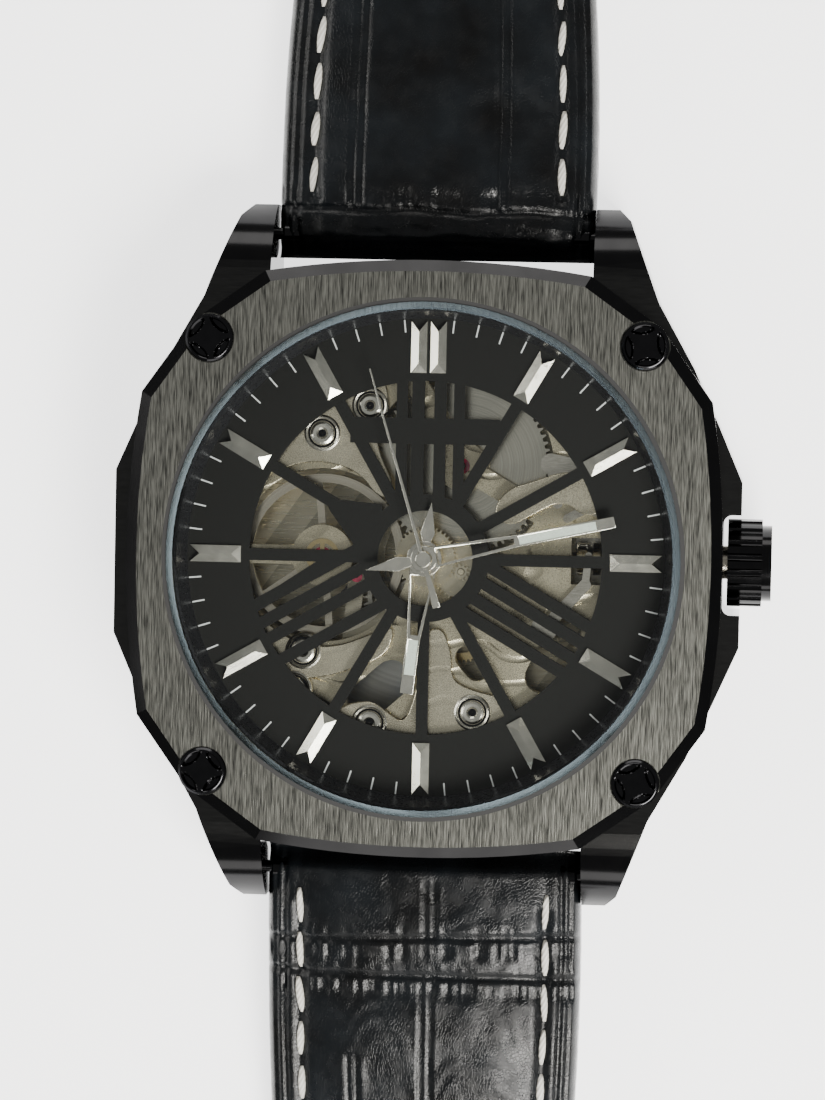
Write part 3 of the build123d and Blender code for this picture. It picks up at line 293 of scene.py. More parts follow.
def striped_bridge(name, colour, dark, roughness, pitch=1.6, turn=35.0):
    """Bridge plating with broad parallel stripes and fine grain."""
    material, tree, shader = new_material(name, colour, 1.0, roughness)
    wave = add_node(tree, "ShaderNodeTexWave", Scale=0.31 / pitch, Distortion=0.0)
    wave.wave_profile = "SAW"
    tree.links.new(mm_coordinates(tree, turn=turn), wave.inputs["Vector"])
    tree.links.new(ramp(tree, wave.outputs["Fac"], dark, colour, 0.0, 1.0), shader.inputs["Base Color"])
    fine = noise_value(tree, mm_coordinates(tree, (0.6, 12, 1), turn=turn), 1.0, 3)
    tree.links.new(ramp(tree, fine, roughness - 0.05, roughness + 0.1), shader.inputs["Roughness"])
    bump(tree, shader, wave.outputs["Fac"], 0.03, 0.6)
    return material


def matte_black(name, colour, roughness, grain=10.0, depth=0.01, shine=0.5):
    """Matt lacquer with a fine grain."""
    material, tree, shader = new_material(name, colour, 0.0, roughness, Specular_IOR_Level=shine)
    speckle = noise_value(tree, mm_coordinates(tree), grain, 3)
    light = tuple(c * 1.35 for c in colour)
    tree.links.new(ramp(tree, speckle, colour, light), shader.inputs["Base Color"])
    tree.links.new(ramp(tree, speckle, roughness - 0.07, roughness + 0.08), shader.inputs["Roughness"])
    bump(tree, shader, speckle, depth, 0.5)
    return material


def leather_material(name):
    """Black glazed leather with pores and fine creases."""
    material, tree, shader = new_material(name, (0.004, 0.004, 0.005), 0.0, 0.26, Specular_IOR_Level=0.3)
    tone = noise_value(tree, mm_coordinates(tree), 0.22, 4)
    colour = ramp(tree, tone, (0.002, 0.002, 0.002), (0.007, 0.009, 0.011), 0.3, 0.75)
    tree.links.new(colour, shader.inputs["Base Color"])
    gloss = noise_value(tree, mm_coordinates(tree), 0.8, 5)
    tree.links.new(ramp(tree, gloss, 0.17, 0.36), shader.inputs["Roughness"])
    cells = add_node(tree, "ShaderNodeTexVoronoi", Scale=5.5)
    cells.feature = "DISTANCE_TO_EDGE"
    tree.links.new(mm_coordinates(tree, (1, 0.8, 1)), cells.inputs["Vector"])
    creases = noise_value(tree, mm_coordinates(tree), 4.0, 6)
    mixed = add_node(tree, "ShaderNodeMath", operation="ADD")
    tree.links.new(ramp(tree, cells.outputs["Distance"], 0.0, 0.5, 0.0, 0.12), mixed.inputs[0])
    tree.links.new(creases, mixed.inputs[1])
    bump(tree, shader, mixed.outputs["Value"], 0.03, 0.4)
    return material


def thread_material(name):
    """Cream waxed thread with a twist."""
    material, tree, shader = new_material(name, (0.72, 0.70, 0.63), 0.0, 0.6)
    wave = add_node(tree, "ShaderNodeTexWave", Scale=1.2, Distortion=1.0)
    tree.links.new(mm_coordinates(tree, (1, 1, 1), turn=30), wave.inputs["Vector"])
    tree.links.new(ramp(tree, wave.outputs["Fac"], (0.60, 0.58, 0.51), (0.8, 0.78, 0.72), 0.0, 1.0),
                   shader.inputs["Base Color"])
    bump(tree, shader, wave.outputs["Fac"], 0.04, 0.8)
    return material


def crystal_material(name):
    """Clear crystal: see-through from the front, a blue-grey sheen on its bevelled edge."""
    material = bpy.data.materials.new(name)
    material.use_nodes = True
    tree = material.node_tree
    tree.nodes.remove(tree.nodes["Principled BSDF"])
    output = tree.nodes["Material Output"]
    clear = add_node(tree, "ShaderNodeBsdfTransparent")
    clear.inputs["Color"].default_value = (0.97, 0.985, 0.99, 1)
    sheen = add_node(tree, "ShaderNodeBsdfGlossy")
    sheen.inputs["Roughness"].default_value = 0.03
    sheen.inputs["Color"].default_value = (1, 1, 1, 1)
    edge = add_node(tree, "ShaderNodeBsdfGlossy")
    edge.inputs["Roughness"].default_value = 0.22
    edge.inputs["Color"].default_value = (0.17, 0.215, 0.24, 1)
    fresnel = add_node(tree, "ShaderNodeFresnel", IOR=1.5)
    fine = noise_value(tree, mm_coordinates(tree), 0.05, 1)
    amount = times(tree, fresnel.outputs["Fac"], ramp(tree, fine, 0.32, 0.4))
    front = tree.nodes.new("ShaderNodeMixShader")
    tree.links.new(amount, front.inputs["Fac"])
    tree.links.new(clear.outputs[0], front.inputs[1])
    tree.links.new(sheen.outputs[0], front.inputs[2])
    bevel = tree.nodes.new("ShaderNodeMixShader")
    bevel.inputs["Fac"].default_value = 0.55
    tree.links.new(clear.outputs[0], bevel.inputs[1])
    tree.links.new(edge.outputs[0], bevel.inputs[2])
    geometry = tree.nodes.new("ShaderNodeNewGeometry")
    split = tree.nodes.new("ShaderNodeSeparateXYZ")
    tree.links.new(geometry.outputs["True Normal"], split.inputs["Vector"])
    upright = add_node(tree, "ShaderNodeMath", operation="ABSOLUTE")
    tree.links.new(split.outputs["Z"], upright.inputs[0])
    final = tree.nodes.new("ShaderNodeMixShader")
    tree.links.new(ramp(tree, upright.outputs["Value"], 0.0, 1.0, 0.9, 0.97), final.inputs["Fac"])
    tree.links.new(bevel.outputs[0], final.inputs[1])
    tree.links.new(front.outputs[0], final.inputs[2])
    tree.links.new(final.outputs[0], output.inputs["Surface"])
    return material


# ---- Finishes for the CAD nodes ----
POLISH_BLACK = (0.026, 0.026, 0.027)
BLACK_STEEL = polished_metal("black_steel_polish", POLISH_BLACK, 0.1)
CASE_SATIN = brushed_metal("case_satin", (0.060, 0.060, 0.058), (0.045, 0.045, 0.044), 0.2, (1.0, 9.0, 1.0),
                           edge=POLISH_BLACK)
BEZEL_BRUSH = brushed_metal("bezel_brush", (0.42, 0.42, 0.37), (0.07, 0.071, 0.064), 0.3, (14.0, 0.8, 1.0),
                            depth=0.03, edge=POLISH_BLACK)
SEAL = matte_black("seal_rubber", (0.02, 0.02, 0.02), 0.6)
REHAUT = matte_black("rehaut_black", (0.012, 0.012, 0.013), 0.3, 6.0, 0.004)
DIAL = matte_black("dial_lacquer", (0.010, 0.0098, 0.0085), 0.6, 14.0, 0.008, 0.12)
SILVER = polished_metal("silver_polish", (0.92, 0.87, 0.74), 0.21)
STEEL = brushed_metal("steel_brush", (0.80, 0.75, 0.63), (0.56, 0.52, 0.43), 0.24, (2.0, 14.0, 2.0), turn=20)
DARK_STEEL = polished_metal("dark_steel", (0.22, 0.21, 0.2), 0.2)
PLATE = grained_plate("plate_grain", (0.84, 0.75, 0.53), (0.54, 0.48, 0.34), 0.28)
OVERLAY = grained_plate("overlay_plating", (0.90, 0.81, 0.60), (0.66, 0.59, 0.43), 0.26, 0.012)
GILT = polished_metal("gilt_polish", (0.9, 0.72, 0.38), 0.16)
WHEEL = polished_metal("wheel_champagne", (0.82, 0.74, 0.54), 0.24)
PALE_GILT = circular_brush("balance_gilt", (0.9, 0.82, 0.66), (0.7, 0.62, 0.46), 0.22,
                           centre_mm("balance_wheel"))
BARREL = circular_brush("barrel_brush", (0.88, 0.83, 0.68), (0.62, 0.58, 0.47), 0.2,
                        centre_mm("barrel_drum"), 7.0)
ROTOR = circular_brush("rotor_brush", (0.66, 0.66, 0.64), (0.44, 0.44, 0.43), 0.3, (0, 0), 3.0)
BRIDGE = striped_bridge("bridge_stripes", (0.76, 0.69, 0.52), (0.48, 0.44, 0.33), 0.28)
LEATHER = leather_material("black_leather")
THREAD = thread_material("cream_thread")
CRYSTAL = crystal_material("crystal_glass")
LUME = matte_black("lume_paste", (0.60, 0.66, 0.56), 0.65, 12.0, 0.01)
WHITE_INK = matte_black("white_ink", (0.62, 0.62, 0.60), 0.5, 10.0, 0.004)
# Glossy black of the bezel screws, also used as painted shade in the movement screws' holes and recesses.
SCREW_BLACK_AND_SHADE = polished_metal("screw_black_and_shade", (0.03, 0.03, 0.032), 0.1)
RUBY, RUBY_TREE, RUBY_SHADER = new_material(
    "ruby_jewel", (0.6, 0.03, 0.09), 0.0, 0.08, Coat_Weight=1.0, Specular_IOR_Level=0.8)
RUBY_CLOUD = noise_value(RUBY_TREE, mm_coordinates(RUBY_TREE), 3.0, 2)
RUBY_TREE.links.new(ramp(RUBY_TREE, RUBY_CLOUD, (0.45, 0.01, 0.06), (0.75, 0.06, 0.14)),
                    RUBY_SHADER.inputs["Base Color"])

FINISHES = {
    BLACK_STEEL: ("spring_bars", "crown", "case_back", "buckle_frame", "buckle_tongue"),
    CASE_SATIN: ("mid_case",),
    BEZEL_BRUSH: ("bezel",),
    SCREW_BLACK_AND_SHADE: ("bezel_screws",),
    CRYSTAL: ("crystal", "case_back_glass"),
    SEAL: ("crystal_gasket", "case_back_gasket", "crown_seal"),
    REHAUT: ("rehaut_ring", "movement_ring"),
    DIAL: ("dial",),
    PLATE: ("main_plate",),
    BRIDGE: ("barrel_bridge", "train_bridge", "balance_cock", "pallet_cock"),
    STEEL: ("crown_tube", "movement_screws", "hairspring", "click_spring", "setting_spring",
            "mainspring", "cannon_pinion", "escape_wheel", "winding_stem", "winding_pinion",
            "sliding_pinion", "barrel_arbor", "click", "setting_lever", "yoke", "rotor_bearing",
            "buckle_bar", "crown_wheel", "ratchet_wheel"),
    DARK_STEEL: ("pallet_fork",),
    GILT: ("shock_springs", "third_wheel", "fourth_wheel"),
    WHEEL: ("centre_wheel", "minute_wheel", "hour_wheel"),
    PALE_GILT: ("balance_wheel",),
    BARREL: ("barrel_drum",),
    ROTOR: ("rotor", "rotor_weight"),
    RUBY: ("jewels",),
    SILVER: ("hour_markers", "hour_hand", "minute_hand", "second_hand"),
    LEATHER: ("strap_12", "strap_6", "keeper_fixed", "keeper_free"),
}
for finish, names in FINISHES.items():
    for node_name in names:
        data = NODES[node_name].data
        data.materials.clear()
        data.materials.append(finish)


def finish_piece(obj, material, body):
    """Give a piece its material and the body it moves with."""
    obj.data.materials.clear()
    obj.data.materials.append(material)
    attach(obj, body)


# ---- Hour markers: faceted bars with a V notch at the outer end ----
MARKER_IN, MARKER_OUT, NOTCH = 12.6, 16.1, 15.55
RIDGE_IN, RIDGE_OUT, RIDGE_RISE = 13.25, 15.4, 0.3
FLANK_RISE = 0.16
MARKER_WIDTH = 1.15
TWELVE_WIDTH, TWELVE_SHIFT = 1.08, 0.66


def marker_mesh(angle, shift, width, verts, faces):
    """One applied marker: a flat foot, chamfered flanks and a raised ridge."""
    half = width / 2
    foot = [(-half, MARKER_IN), (half, MARKER_IN), (half, MARKER_OUT), (0, NOTCH), (-half, MARKER_OUT)]
    count = len(foot)
    low, high = DIAL_TOP, DIAL_TOP + FLANK_RISE
    base = len(verts)
    for z in (low, high):
        for x, y in foot:
            px, py = clock_point(angle, y, x + shift)
            verts.append((px, py, z))
    verts += [(*clock_point(angle, r, shift), high + RIDGE_RISE) for r in (RIDGE_IN, RIDGE_OUT)]
    ridge_in, ridge_out = base + 2 * count, base + 2 * count + 1
    upper = [base + count + k for k in range(count)]
    for k in range(count):
        faces.append((base + k, base + (k + 1) % count, upper[(k + 1) % count], upper[k]))
    faces += [(upper[0], upper[1], ridge_in), (upper[1], upper[2], ridge_out, ridge_in),
              (upper[2], upper[3], ridge_out), (upper[3], upper[4], ridge_out),
              (upper[4], upper[0], ridge_in, ridge_out)]
    faces.append(tuple(base + k for k in reversed(range(count))))


marker_verts, marker_faces = [], []
marker_list = [(30 * hour, 0.0, MARKER_WIDTH) for hour in range(1, 12)]
marker_list += [(0, TWELVE_SHIFT, TWELVE_WIDTH), (0, -TWELVE_SHIFT, TWELVE_WIDTH)]
for marker_angle, marker_shift, marker_width in marker_list:
    marker_mesh(marker_angle, marker_shift, marker_width, marker_verts, marker_faces)
markers = mesh_object("applied_markers", marker_verts, marker_faces)
finish_piece(markers, SILVER, "case")
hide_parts("hour_markers")


# ---- Bezel screws: glossy heads with a four-pointed star left between four sunk petals ----
SCREW_XY = 14.7
SCREW_HIGH = box_mm("bezel_screws")[1]
HEAD_RADIUS = SCREW_HIGH[0] - SCREW_XY
HEAD_TOP = SCREW_HIGH[2]
HEAD_DEPTH = 0.75
SCREW_RINGS, SCREW_SIDES = 34, 96


def screw_height(x, y):
    """Height of a bezel screw's head at a point measured from its middle."""
    r = math.hypot(x, y)
    away = 1.35 * HEAD_RADIUS
    sunk = 0.86 * HEAD_RADIUS - min(math.hypot(abs(x) - away, y), math.hypot(x, abs(y) - away))
    inside = min(max((0.86 * HEAD_RADIUS - r) / 0.1, 0), 1)
    rim = min(max((r - 0.9 * HEAD_RADIUS) / (0.1 * HEAD_RADIUS), 0), 1)
    return HEAD_TOP - 0.32 * min(max(sunk / 0.14, 0), 1) * inside - 0.14 * rim


screw_verts, screw_faces = [], []
for sx, sy, twist in ((1, 1, 8), (-1, 1, 52), (-1, -1, 40), (1, -1, 21)):
    mid_x, mid_y = SCREW_XY * sx, SCREW_XY * sy
    base = len(screw_verts)
    screw_verts.append((mid_x, mid_y, HEAD_TOP))
    for ring_index in range(1, SCREW_RINGS + 1):
        r = HEAD_RADIUS * ring_index / SCREW_RINGS
        for k in range(SCREW_SIDES):
            angle = 2 * math.pi * k / SCREW_SIDES
            local = angle - math.radians(twist)
            z = screw_height(r * math.cos(local), r * math.sin(local))
            screw_verts.append((mid_x + r * math.cos(angle), mid_y + r * math.sin(angle), z))
    foot_points = circle_points(HEAD_RADIUS, SCREW_SIDES, mid_x, mid_y)
    screw_verts += [(x, y, HEAD_TOP - HEAD_DEPTH) for x, y in foot_points]
    screw_faces += [(base, base + 1 + k, base + 1 + (k + 1) % SCREW_SIDES) for k in range(SCREW_SIDES)]
    for ring_index in range(SCREW_RINGS):
        a = base + 1 + ring_index * SCREW_SIDES
        b = a + SCREW_SIDES
        screw_faces += [(a + k, b + k, b + (k + 1) % SCREW_SIDES, a + (k + 1) % SCREW_SIDES)
                        for k in range(SCREW_SIDES)]
    last_ring = base + 1 + SCREW_RINGS * SCREW_SIDES
    screw_faces.append(tuple(last_ring + k for k in reversed(range(SCREW_SIDES))))
screws = mesh_object("bezel_screw_heads", screw_verts, screw_faces)
finish_piece(screws, SCREW_BLACK_AND_SHADE, "case")
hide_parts("bezel_screws")


# ---- Printed minute track ----
TICK_IN, TICK_OUT, TICK_HALF = 15.4, 16.25, 0.05
TICK_CORNERS = ((TICK_IN, -TICK_HALF), (TICK_IN, TICK_HALF), (TICK_OUT, TICK_HALF), (TICK_OUT, -TICK_HALF))
INK_HEIGHT = 0.015


def thin_box(verts, faces, corners, low, high):
    """A four-cornered block between two heights."""
    base = len(verts)
    verts += [(x, y, low) for x, y in corners] + [(x, y, high) for x, y in corners]
    faces += [(base + 3, base + 2, base + 1, base), (base + 4, base + 5, base + 6, base + 7)]
    faces += [(base + k, base + (k + 1) % 4, base + 4 + (k + 1) % 4, base + 4 + k) for k in range(4)]


tick_verts, tick_faces = [], []
for minute in range(60):
    if minute % 5:
        ends = [clock_point(6 * minute, radius, across) for radius, across in TICK_CORNERS]
        thin_box(tick_verts, tick_faces, ends[::-1], DIAL_TOP, DIAL_TOP + INK_HEIGHT)
ticks = mesh_object("minute_track", tick_verts, tick_faces)
finish_piece(ticks, WHITE_INK, "case")


# ---- Movement details on the dial side ----
RIM_STEP = 0.5
PLATE_TOP = box_mm("main_plate")[1][2] - RIM_STEP
OVERLAYS = (
    ((-12.2, 5.0), (-10.5, 8.2), (-7.0, 11.6), (-3.2, 12.6), (-2.6, 10.4), (-3.6, 9.0), (-3.4, 7.4),
     (-2.9, 6.2), (-2.2, 4.8), (-2.7, 3.9), (-3.6, 4.3), (-4.4, 5.4), (-5.8, 6.2), (-8.2, 6.5),
     (-10.6, 5.6)),
    ((-12.6, -3.2), (-9.4, -5.9), (-6.4, -6.4), (-3.4, -5.2), (-2.0, -4.6), (-2.4, -6.6), (-4.4, -7.6),
     (-7.0, -8.4), (-9.6, -8.6), (-11.6, -6.6)),
    ((-6.4, -10.9), (-4.9, -10.0), (-3.4, -9.9), (-2.2, -10.8), (-1.2, -11.4), (-0.4, -9.0), (-0.2, -5.2),
     (1.2, -4.6), (1.9, -6.4), (1.9, -8.2), (3.0, -8.9), (4.9, -9.3), (6.2, -9.6), (5.0, -12.0),
     (0.0, -13.2), (-5.6, -12.0)),
)
OVERLAY_THICKNESS, OVERLAY_BEVEL = 0.22, 0.07
COVER_LIFT, COVER_THICKNESS, COVER_BEVEL = 0.5, 0.18, 0.06


def softened(points, rounds=3):
    """A closed outline with its corners cut again and again until they are round."""
    for _ in range(rounds):
        cut = []
        for (ax, ay), (bx, by) in zip(points, points[1:] + points[:1]):
            cut.append((0.75 * ax + 0.25 * bx, 0.75 * ay + 0.25 * by))
            cut.append((0.25 * ax + 0.75 * bx, 0.25 * ay + 0.75 * by))
        points = cut
    return points


for index, outline in enumerate(OVERLAYS):
    overlay = plate_object("overlay_plate_%d" % index, [softened(list(outline))],
                           PLATE_TOP, PLATE_TOP + OVERLAY_THICKNESS, OVERLAY_BEVEL)
    finish_piece(overlay, OVERLAY, "case")


SETTING_COVER = [(5.6, 2.2), (7.4, 3.2), (9.2, 4.2), (10.9, 3.0), (12.4, 3.6), (12.2, 5.6), (9.6, 6.2),
                 (7.4, 5.4), (5.4, 4.8), (4.5, 3.2)]
COVER_Z = PLATE_TOP + COVER_LIFT
cover = plate_object("setting_cover_plate", [softened(SETTING_COVER)],
                     COVER_Z, COVER_Z + COVER_THICKNESS, COVER_BEVEL)
finish_piece(cover, OVERLAY, "case")


# ---- Screw heads that show in the dial's windows ----
HEADS = ((-7.25, 8.35), (-4.0, 10.3), (3.4, -10.5), (-8.3, -6.6), (-8.9, -9.2), (-3.65, -11.4))
HEAD_Z = PLATE_TOP + 0.3
RECESS_LOW, RECESS_HIGH = PLATE_TOP + 0.02, PLATE_TOP + 0.24


def turned(name, profile, material):
    """One profile of (radius, height) points turned into a ring at every screw head."""
    verts, faces = [], []
    rows, sides = len(profile), 40
    for head_x, head_y in HEADS:
        base = len(verts)
        for radius, z in profile:
            verts += [(x, y, z) for x, y in circle_points(radius, sides, head_x, head_y)]
        for row in range(rows):
            a, b = base + row * sides, base + (row + 1) % rows * sides
            for k in range(sides):
                step = (k + 1) % sides
                faces.append((a + k, a + step, b + step, b + k))
    finish_piece(mesh_object(name, verts, faces), material, "case")


turned("screw_collars", [(1.28, PLATE_TOP), (1.24, HEAD_Z - 0.02), (1.12, HEAD_Z + 0.05),
                         (1.0, HEAD_Z - 0.02), (0.96, PLATE_TOP)], STEEL)
turned("screw_domes", [(0.82, HEAD_Z - 0.1), (0.78, HEAD_Z + 0.06), (0.62, HEAD_Z + 0.14),
                       (0.4, HEAD_Z + 0.12), (0.27, HEAD_Z + 0.01), (0.27, HEAD_Z - 0.1)], SILVER)
# A dark disc in each dome's centre hole: painted shade where the hole falls into shadow.
turned("screw_hole_shade", [(0.28, HEAD_Z + 0.015), (0.02, HEAD_Z + 0.015), (0.02, HEAD_Z - 0.05),
                       (0.28, HEAD_Z - 0.05)], SCREW_BLACK_AND_SHADE)
# A dark ring in the gap between each collar and its dome: painted shade in the recess.
turned("screw_recess_shade", [(0.98, RECESS_LOW), (0.84, RECESS_LOW), (0.84, RECESS_HIGH),
                          (0.98, RECESS_HIGH)], SCREW_BLACK_AND_SHADE)

# A plate under the balance, with holes for the arbors that pass through it.
SINK_LOW, SINK_HIGH = 4.36, 4.42
sink = plate_object("balance_sink", [circle_points(6.7), circle_points(1.6),
                                     [(x + 2.2, y - 1.5) for x, y in circle_points(0.32)],
                                     [(x + 4.24, y - 2.86) for x, y in circle_points(0.34)],
                                     [(x - 2.4, y) for x, y in circle_points(0.4)]],
                    SINK_LOW, SINK_HIGH, centre=centre_mm("balance_wheel"))
finish_piece(sink, BRIDGE, "case")


# ---- Hands ----
def hand_parts(prefix, body, node, angle, z, spec):
    """A railed hand with a hub, a spear tail and a lume inlay, standing for the CAD hand."""
    root, mid, lume_in, tip, tail, hub, hole = spec
    rail = 0.2
    outer = [(-root / 2, 0.3), (-mid / 2, lume_in), (-mid / 2, tip), (mid / 2, tip), (mid / 2, lume_in),
             (root / 2, 0.3), (0.3, 0.0), (0.3, -hub), (0.5, -tail * 0.45), (0.0, -tail),
             (-0.5, -tail * 0.45), (-0.3, -hub), (-0.3, 0.0)]
    window = [(-root / 2 + rail, hub), (-mid / 2 + rail, lume_in - 0.35), (mid / 2 - rail, lume_in - 0.35),
              (root / 2 - rail, hub)]
    inlay = [(-mid / 2 + 0.12, lume_in), (-mid / 2 + 0.12, tip - 1.3), (mid / 2 - 0.12, tip - 1.3),
             (mid / 2 - 0.12, lume_in)]
    blade = plate_object(prefix + "_blade", [outer, window[::-1], inlay[::-1]], z, z + 0.16, 0.035, angle)
    ring = plate_object(prefix + "_hub", [circle_points(hub), circle_points(hole)], z - 0.02, z + 0.2, 0.04)
    lume = plate_object(prefix + "_lume", [inlay], z + 0.02, z + 0.13, 0.0, angle)
    for part, material in ((blade, SILVER), (ring, SILVER), (lume, LUME)):
        finish_piece(part, material, body)
    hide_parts(node)


hand_parts("hour", "hour_work", "hour_hand", HOUR_ANGLE, box_mm("hour_hand")[0][2],
           (1.9, 0.92, 5.6, 9.3, 3.9, 1.2, 0.86))
hand_parts("minute", "minute_arbor", "minute_hand", MINUTE_ANGLE, box_mm("minute_hand")[0][2],
           (1.5, 0.8, 6.6, 13.2, 4.05, 0.9, 0.5))
SECOND_Z = box_mm("second_hand")[0][2]
NEEDLE = [(-0.12, 0), (-0.06, 13.4), (0.06, 13.4), (0.12, 0), (0.27, -3.4), (-0.27, -3.4)]
needle = plate_object("second_blade", [NEEDLE], SECOND_Z, SECOND_Z + 0.11, 0.02, SECOND_ANGLE)
boss = plate_object("second_hub", [circle_points(0.55)], SECOND_Z - 0.03, SECOND_Z + 0.2, 0.06)
for part in (needle, boss):
    finish_piece(part, SILVER, "second_arbor")
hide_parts("second_hand")


# ---- Straps ----
def groove(distance, width, depth):
    """A soft valley at a distance of zero."""
    return -depth * math.exp(-((distance / width) ** 2))


def between(value, low, high, soft):
    """1 between two limits, fading out over a soft margin."""
    rise = min(max((value - low) / soft, 0), 1)
    fall = min(max((high - value) / soft, 0), 1)
    return rise * fall


def wavy(x, y, scale, seed):
    """Smooth, repeatable noise over the strap's face."""
    return noise.noise(Vector((x * scale, y * scale, seed)))


def prism(outline, low, high):
    """A straight-sided block over a closed outline, for cutting."""
    count = len(outline)
    verts = [(x, y, low) for x, y in outline] + [(x, y, high) for x, y in outline]
    faces = [(k, (k + 1) % count, count + (k + 1) % count, count + k) for k in range(count)]
    faces += [tuple(reversed(range(count))), tuple(range(count, 2 * count))]
    return mesh_object("cutter", verts, faces)


def punch(obj, cutters):
    """Cut blocks out of an object and keep the result as its mesh."""
    for cutter in cutters:
        cut = obj.modifiers.new("cut", "BOOLEAN")
        cut.operation = "DIFFERENCE"
        cut.solver = "EXACT"
        cut.object = cutter
    bpy.context.view_layer.update()
    mesh = bpy.data.meshes.new_from_object(obj.evaluated_get(bpy.context.evaluated_depsgraph_get()))
    obj.modifiers.clear()
    obj.data = mesh
    for cutter in cutters:
        bpy.data.objects.remove(cutter)


# Distances along a strap run outward from its spring bar.
HOLE_FIRST, HOLE_PITCH, HOLE_COUNT, HOLE_RADIUS = 66.0, 6.5, 7, 1.1
STITCH_INSET, STITCH_PITCH, STITCH_LENGTH, STITCH_RADIUS = 2.4, 3.2, 2.5, 0.27
TIP_LENGTH = 8
NO_END = 99

# Creases across each strap, and ridges along it as (share of half width, first, last).
CREASES_12 = [1.6, 19.5, 30.5, 41.0, 51.5, 61.5]
RIDGES_12 = [(-0.50, 1.9, NO_END), (0.41, 1.9, NO_END)]
CREASES_6 = [4.6, 7.3, 19.0, 30.0, 40.5, 51.0, 61.0, 71.0, 81.0, 91.5, 102.0]
RIDGES_6 = [(0.03, 7.3, NO_END), (0.05, 0.5, 4.6), (-0.44, 13.0, NO_END), (0.5, 19.0, NO_END)]


class Strap:
    """One strap half as a padded leather skin, on the 12 o'clock side (sign 1) or the 6 (sign -1)."""

    def __init__(self, name, node, body, sign, top, bottom, taper, seed):
        self.name, self.node, self.body, self.sign, self.seed = name, node, body, sign, seed
        self.top, self.bottom, self.taper = top, bottom, taper
        self.end = abs(box_mm(node)[1][1] if sign > 0 else box_mm(node)[0][1]) - BAR_Y

    @staticmethod
    def table(points, value):
        """A value eased between the points of a table of (place, value)."""
        for (a, va), (b, vb) in zip(points, points[1:]):
            if value <= b:
                share = max(min((value - a) / (b - a), 1), 0)
                share = share * share * (3 - 2 * share)
                return va + (vb - va) * share
        return points[-1][1]

    def half_width(self, s):
        """Half the strap's width, closing to a rounded tip on the long strap."""
        width = self.table(self.taper, s)
        if self.sign < 0:
            left = self.end - s
            if left < TIP_LENGTH:
                width *= math.sqrt(max(1 - ((TIP_LENGTH - left) / TIP_LENGTH) ** 2.4, 0.0))
        return width

    def relief(self, x, s, half):
        """Creases and padding of the embossed skin, added to the top height."""
        seed = self.seed
        share = x / max(half, 0.1)
        height = 0.05 * wavy(x, s, 0.5, seed) + 0.018 * wavy(x, s, 2.2, seed + 3)
        edge = half - abs(x)
        stitch = half - STITCH_INSET
        height += groove(abs(x) - stitch, 0.42, 0.34) * (1 if s > 2.2 else 0.3)
        height += groove(edge - 1.3, 0.15, 0.2) + groove(edge - 0.7, 0.13, 0.16)
        for index, place in enumerate(CREASES_12 if self.sign > 0 else CREASES_6):
            bend = 0.25 * wavy(x, place, 0.25, seed + 7) + 0.02 * x * (1 if index % 2 else -1)
            near = s - place - bend
            height += groove(near, 0.22, 0.34) + 0.07 * math.exp(-((near / 0.8) ** 2))
            rays = abs(wavy(x, place, 1.9, seed + 11))
            height -= between(near, 0.1, 1.7, 0.5) * 0.24 * max(0, 1 - rays * 6)
            height -= between(-near, 0.1, 0.9, 0.4) * 0.16 * max(0, 1 - rays * 8)
        for place, start, stop in RIDGES_12 if self.sign > 0 else RIDGES_6:
            if start < s < stop:
                near = x - place * half - 0.1 * wavy(0, s, 0.3, seed + 5)
                height += groove(near - 0.27, 0.15, 0.34) + groove(near + 0.27, 0.15, 0.34)
                height += 0.13 * math.exp(-((near / 0.6) ** 2))
        if self.sign > 0 and s < 1.4:
            height += 0.13 * noise.noise(Vector((x * 0.5, s * 3.6, seed + 2)))
            height += 0.05 * noise.noise(Vector((x * 2.5, s * 6.0, seed + 4)))
        if self.sign < 0:
            for index in range(HOLE_COUNT):
                away = math.hypot(x, s - HOLE_FIRST - HOLE_PITCH * index) - HOLE_RADIUS
                if away < 1.5:
                    height -= 0.16 * math.exp(-((away / 0.4) ** 2))
        if self.sign < 0 and abs(x) < stitch - 0.3:
            puff = noise.noise(Vector((x * 0.35, s * 0.22, seed + 9)))
            height += 0.09 * puff + 0.02 * math.sin(14 * puff + 2.4 * s) * between(share, -0.6, 0.7, 0.2)
        return height

    def top_height(self, x, s):
        """Height of the upper face, rolled round the spring bar and rounded at its edges."""
        half = self.half_width(s)
        top = self.table(self.top, s)
        bottom = self.table(self.bottom, s)
        if s < 0:
            roll = math.sqrt(max(BAR_ROLL ** 2 - s ** 2, 0.0))
            top = min(top, BAR_Z + roll)
            bottom = BAR_Z - roll
        thick = top - bottom
        edge = max(half - abs(x), 0.0)
        crown_drop = thick * 0.30 * (abs(x) / max(half, 0.1)) ** 3
        round_off = 0.75 * (1 - math.sqrt(max(1 - (1 - min(edge / 0.75, 1)) ** 2, 0.0)))
        fade = min(max((s + BAR_ROLL) / 1.2, 0.0), 1.0)
        left = min(max((self.end - s) / 1.2, 0.0), 1.0)
        lift = self.relief(x, s, half) * fade * left
        ends = 0.5 * (1 - left) if self.sign < 0 else 0.0
        return max(top - crown_drop - round_off * min(thick, 1.6) - ends - 0.1 + lift, bottom + 0.25 * thick)

    def bottom_height(self, x, s):
        """Height of the under face."""
        bottom = self.table(self.bottom, s)
        if s < 0:
            bottom = BAR_Z - math.sqrt(max(BAR_ROLL ** 2 - s ** 2, 0.0))
        half = self.half_width(s)
        edge = max(half - abs(x), 0.0)
        return bottom + 0.3 * (1 - math.sqrt(max(1 - (1 - min(edge / 0.3, 1)) ** 2, 0.0)))

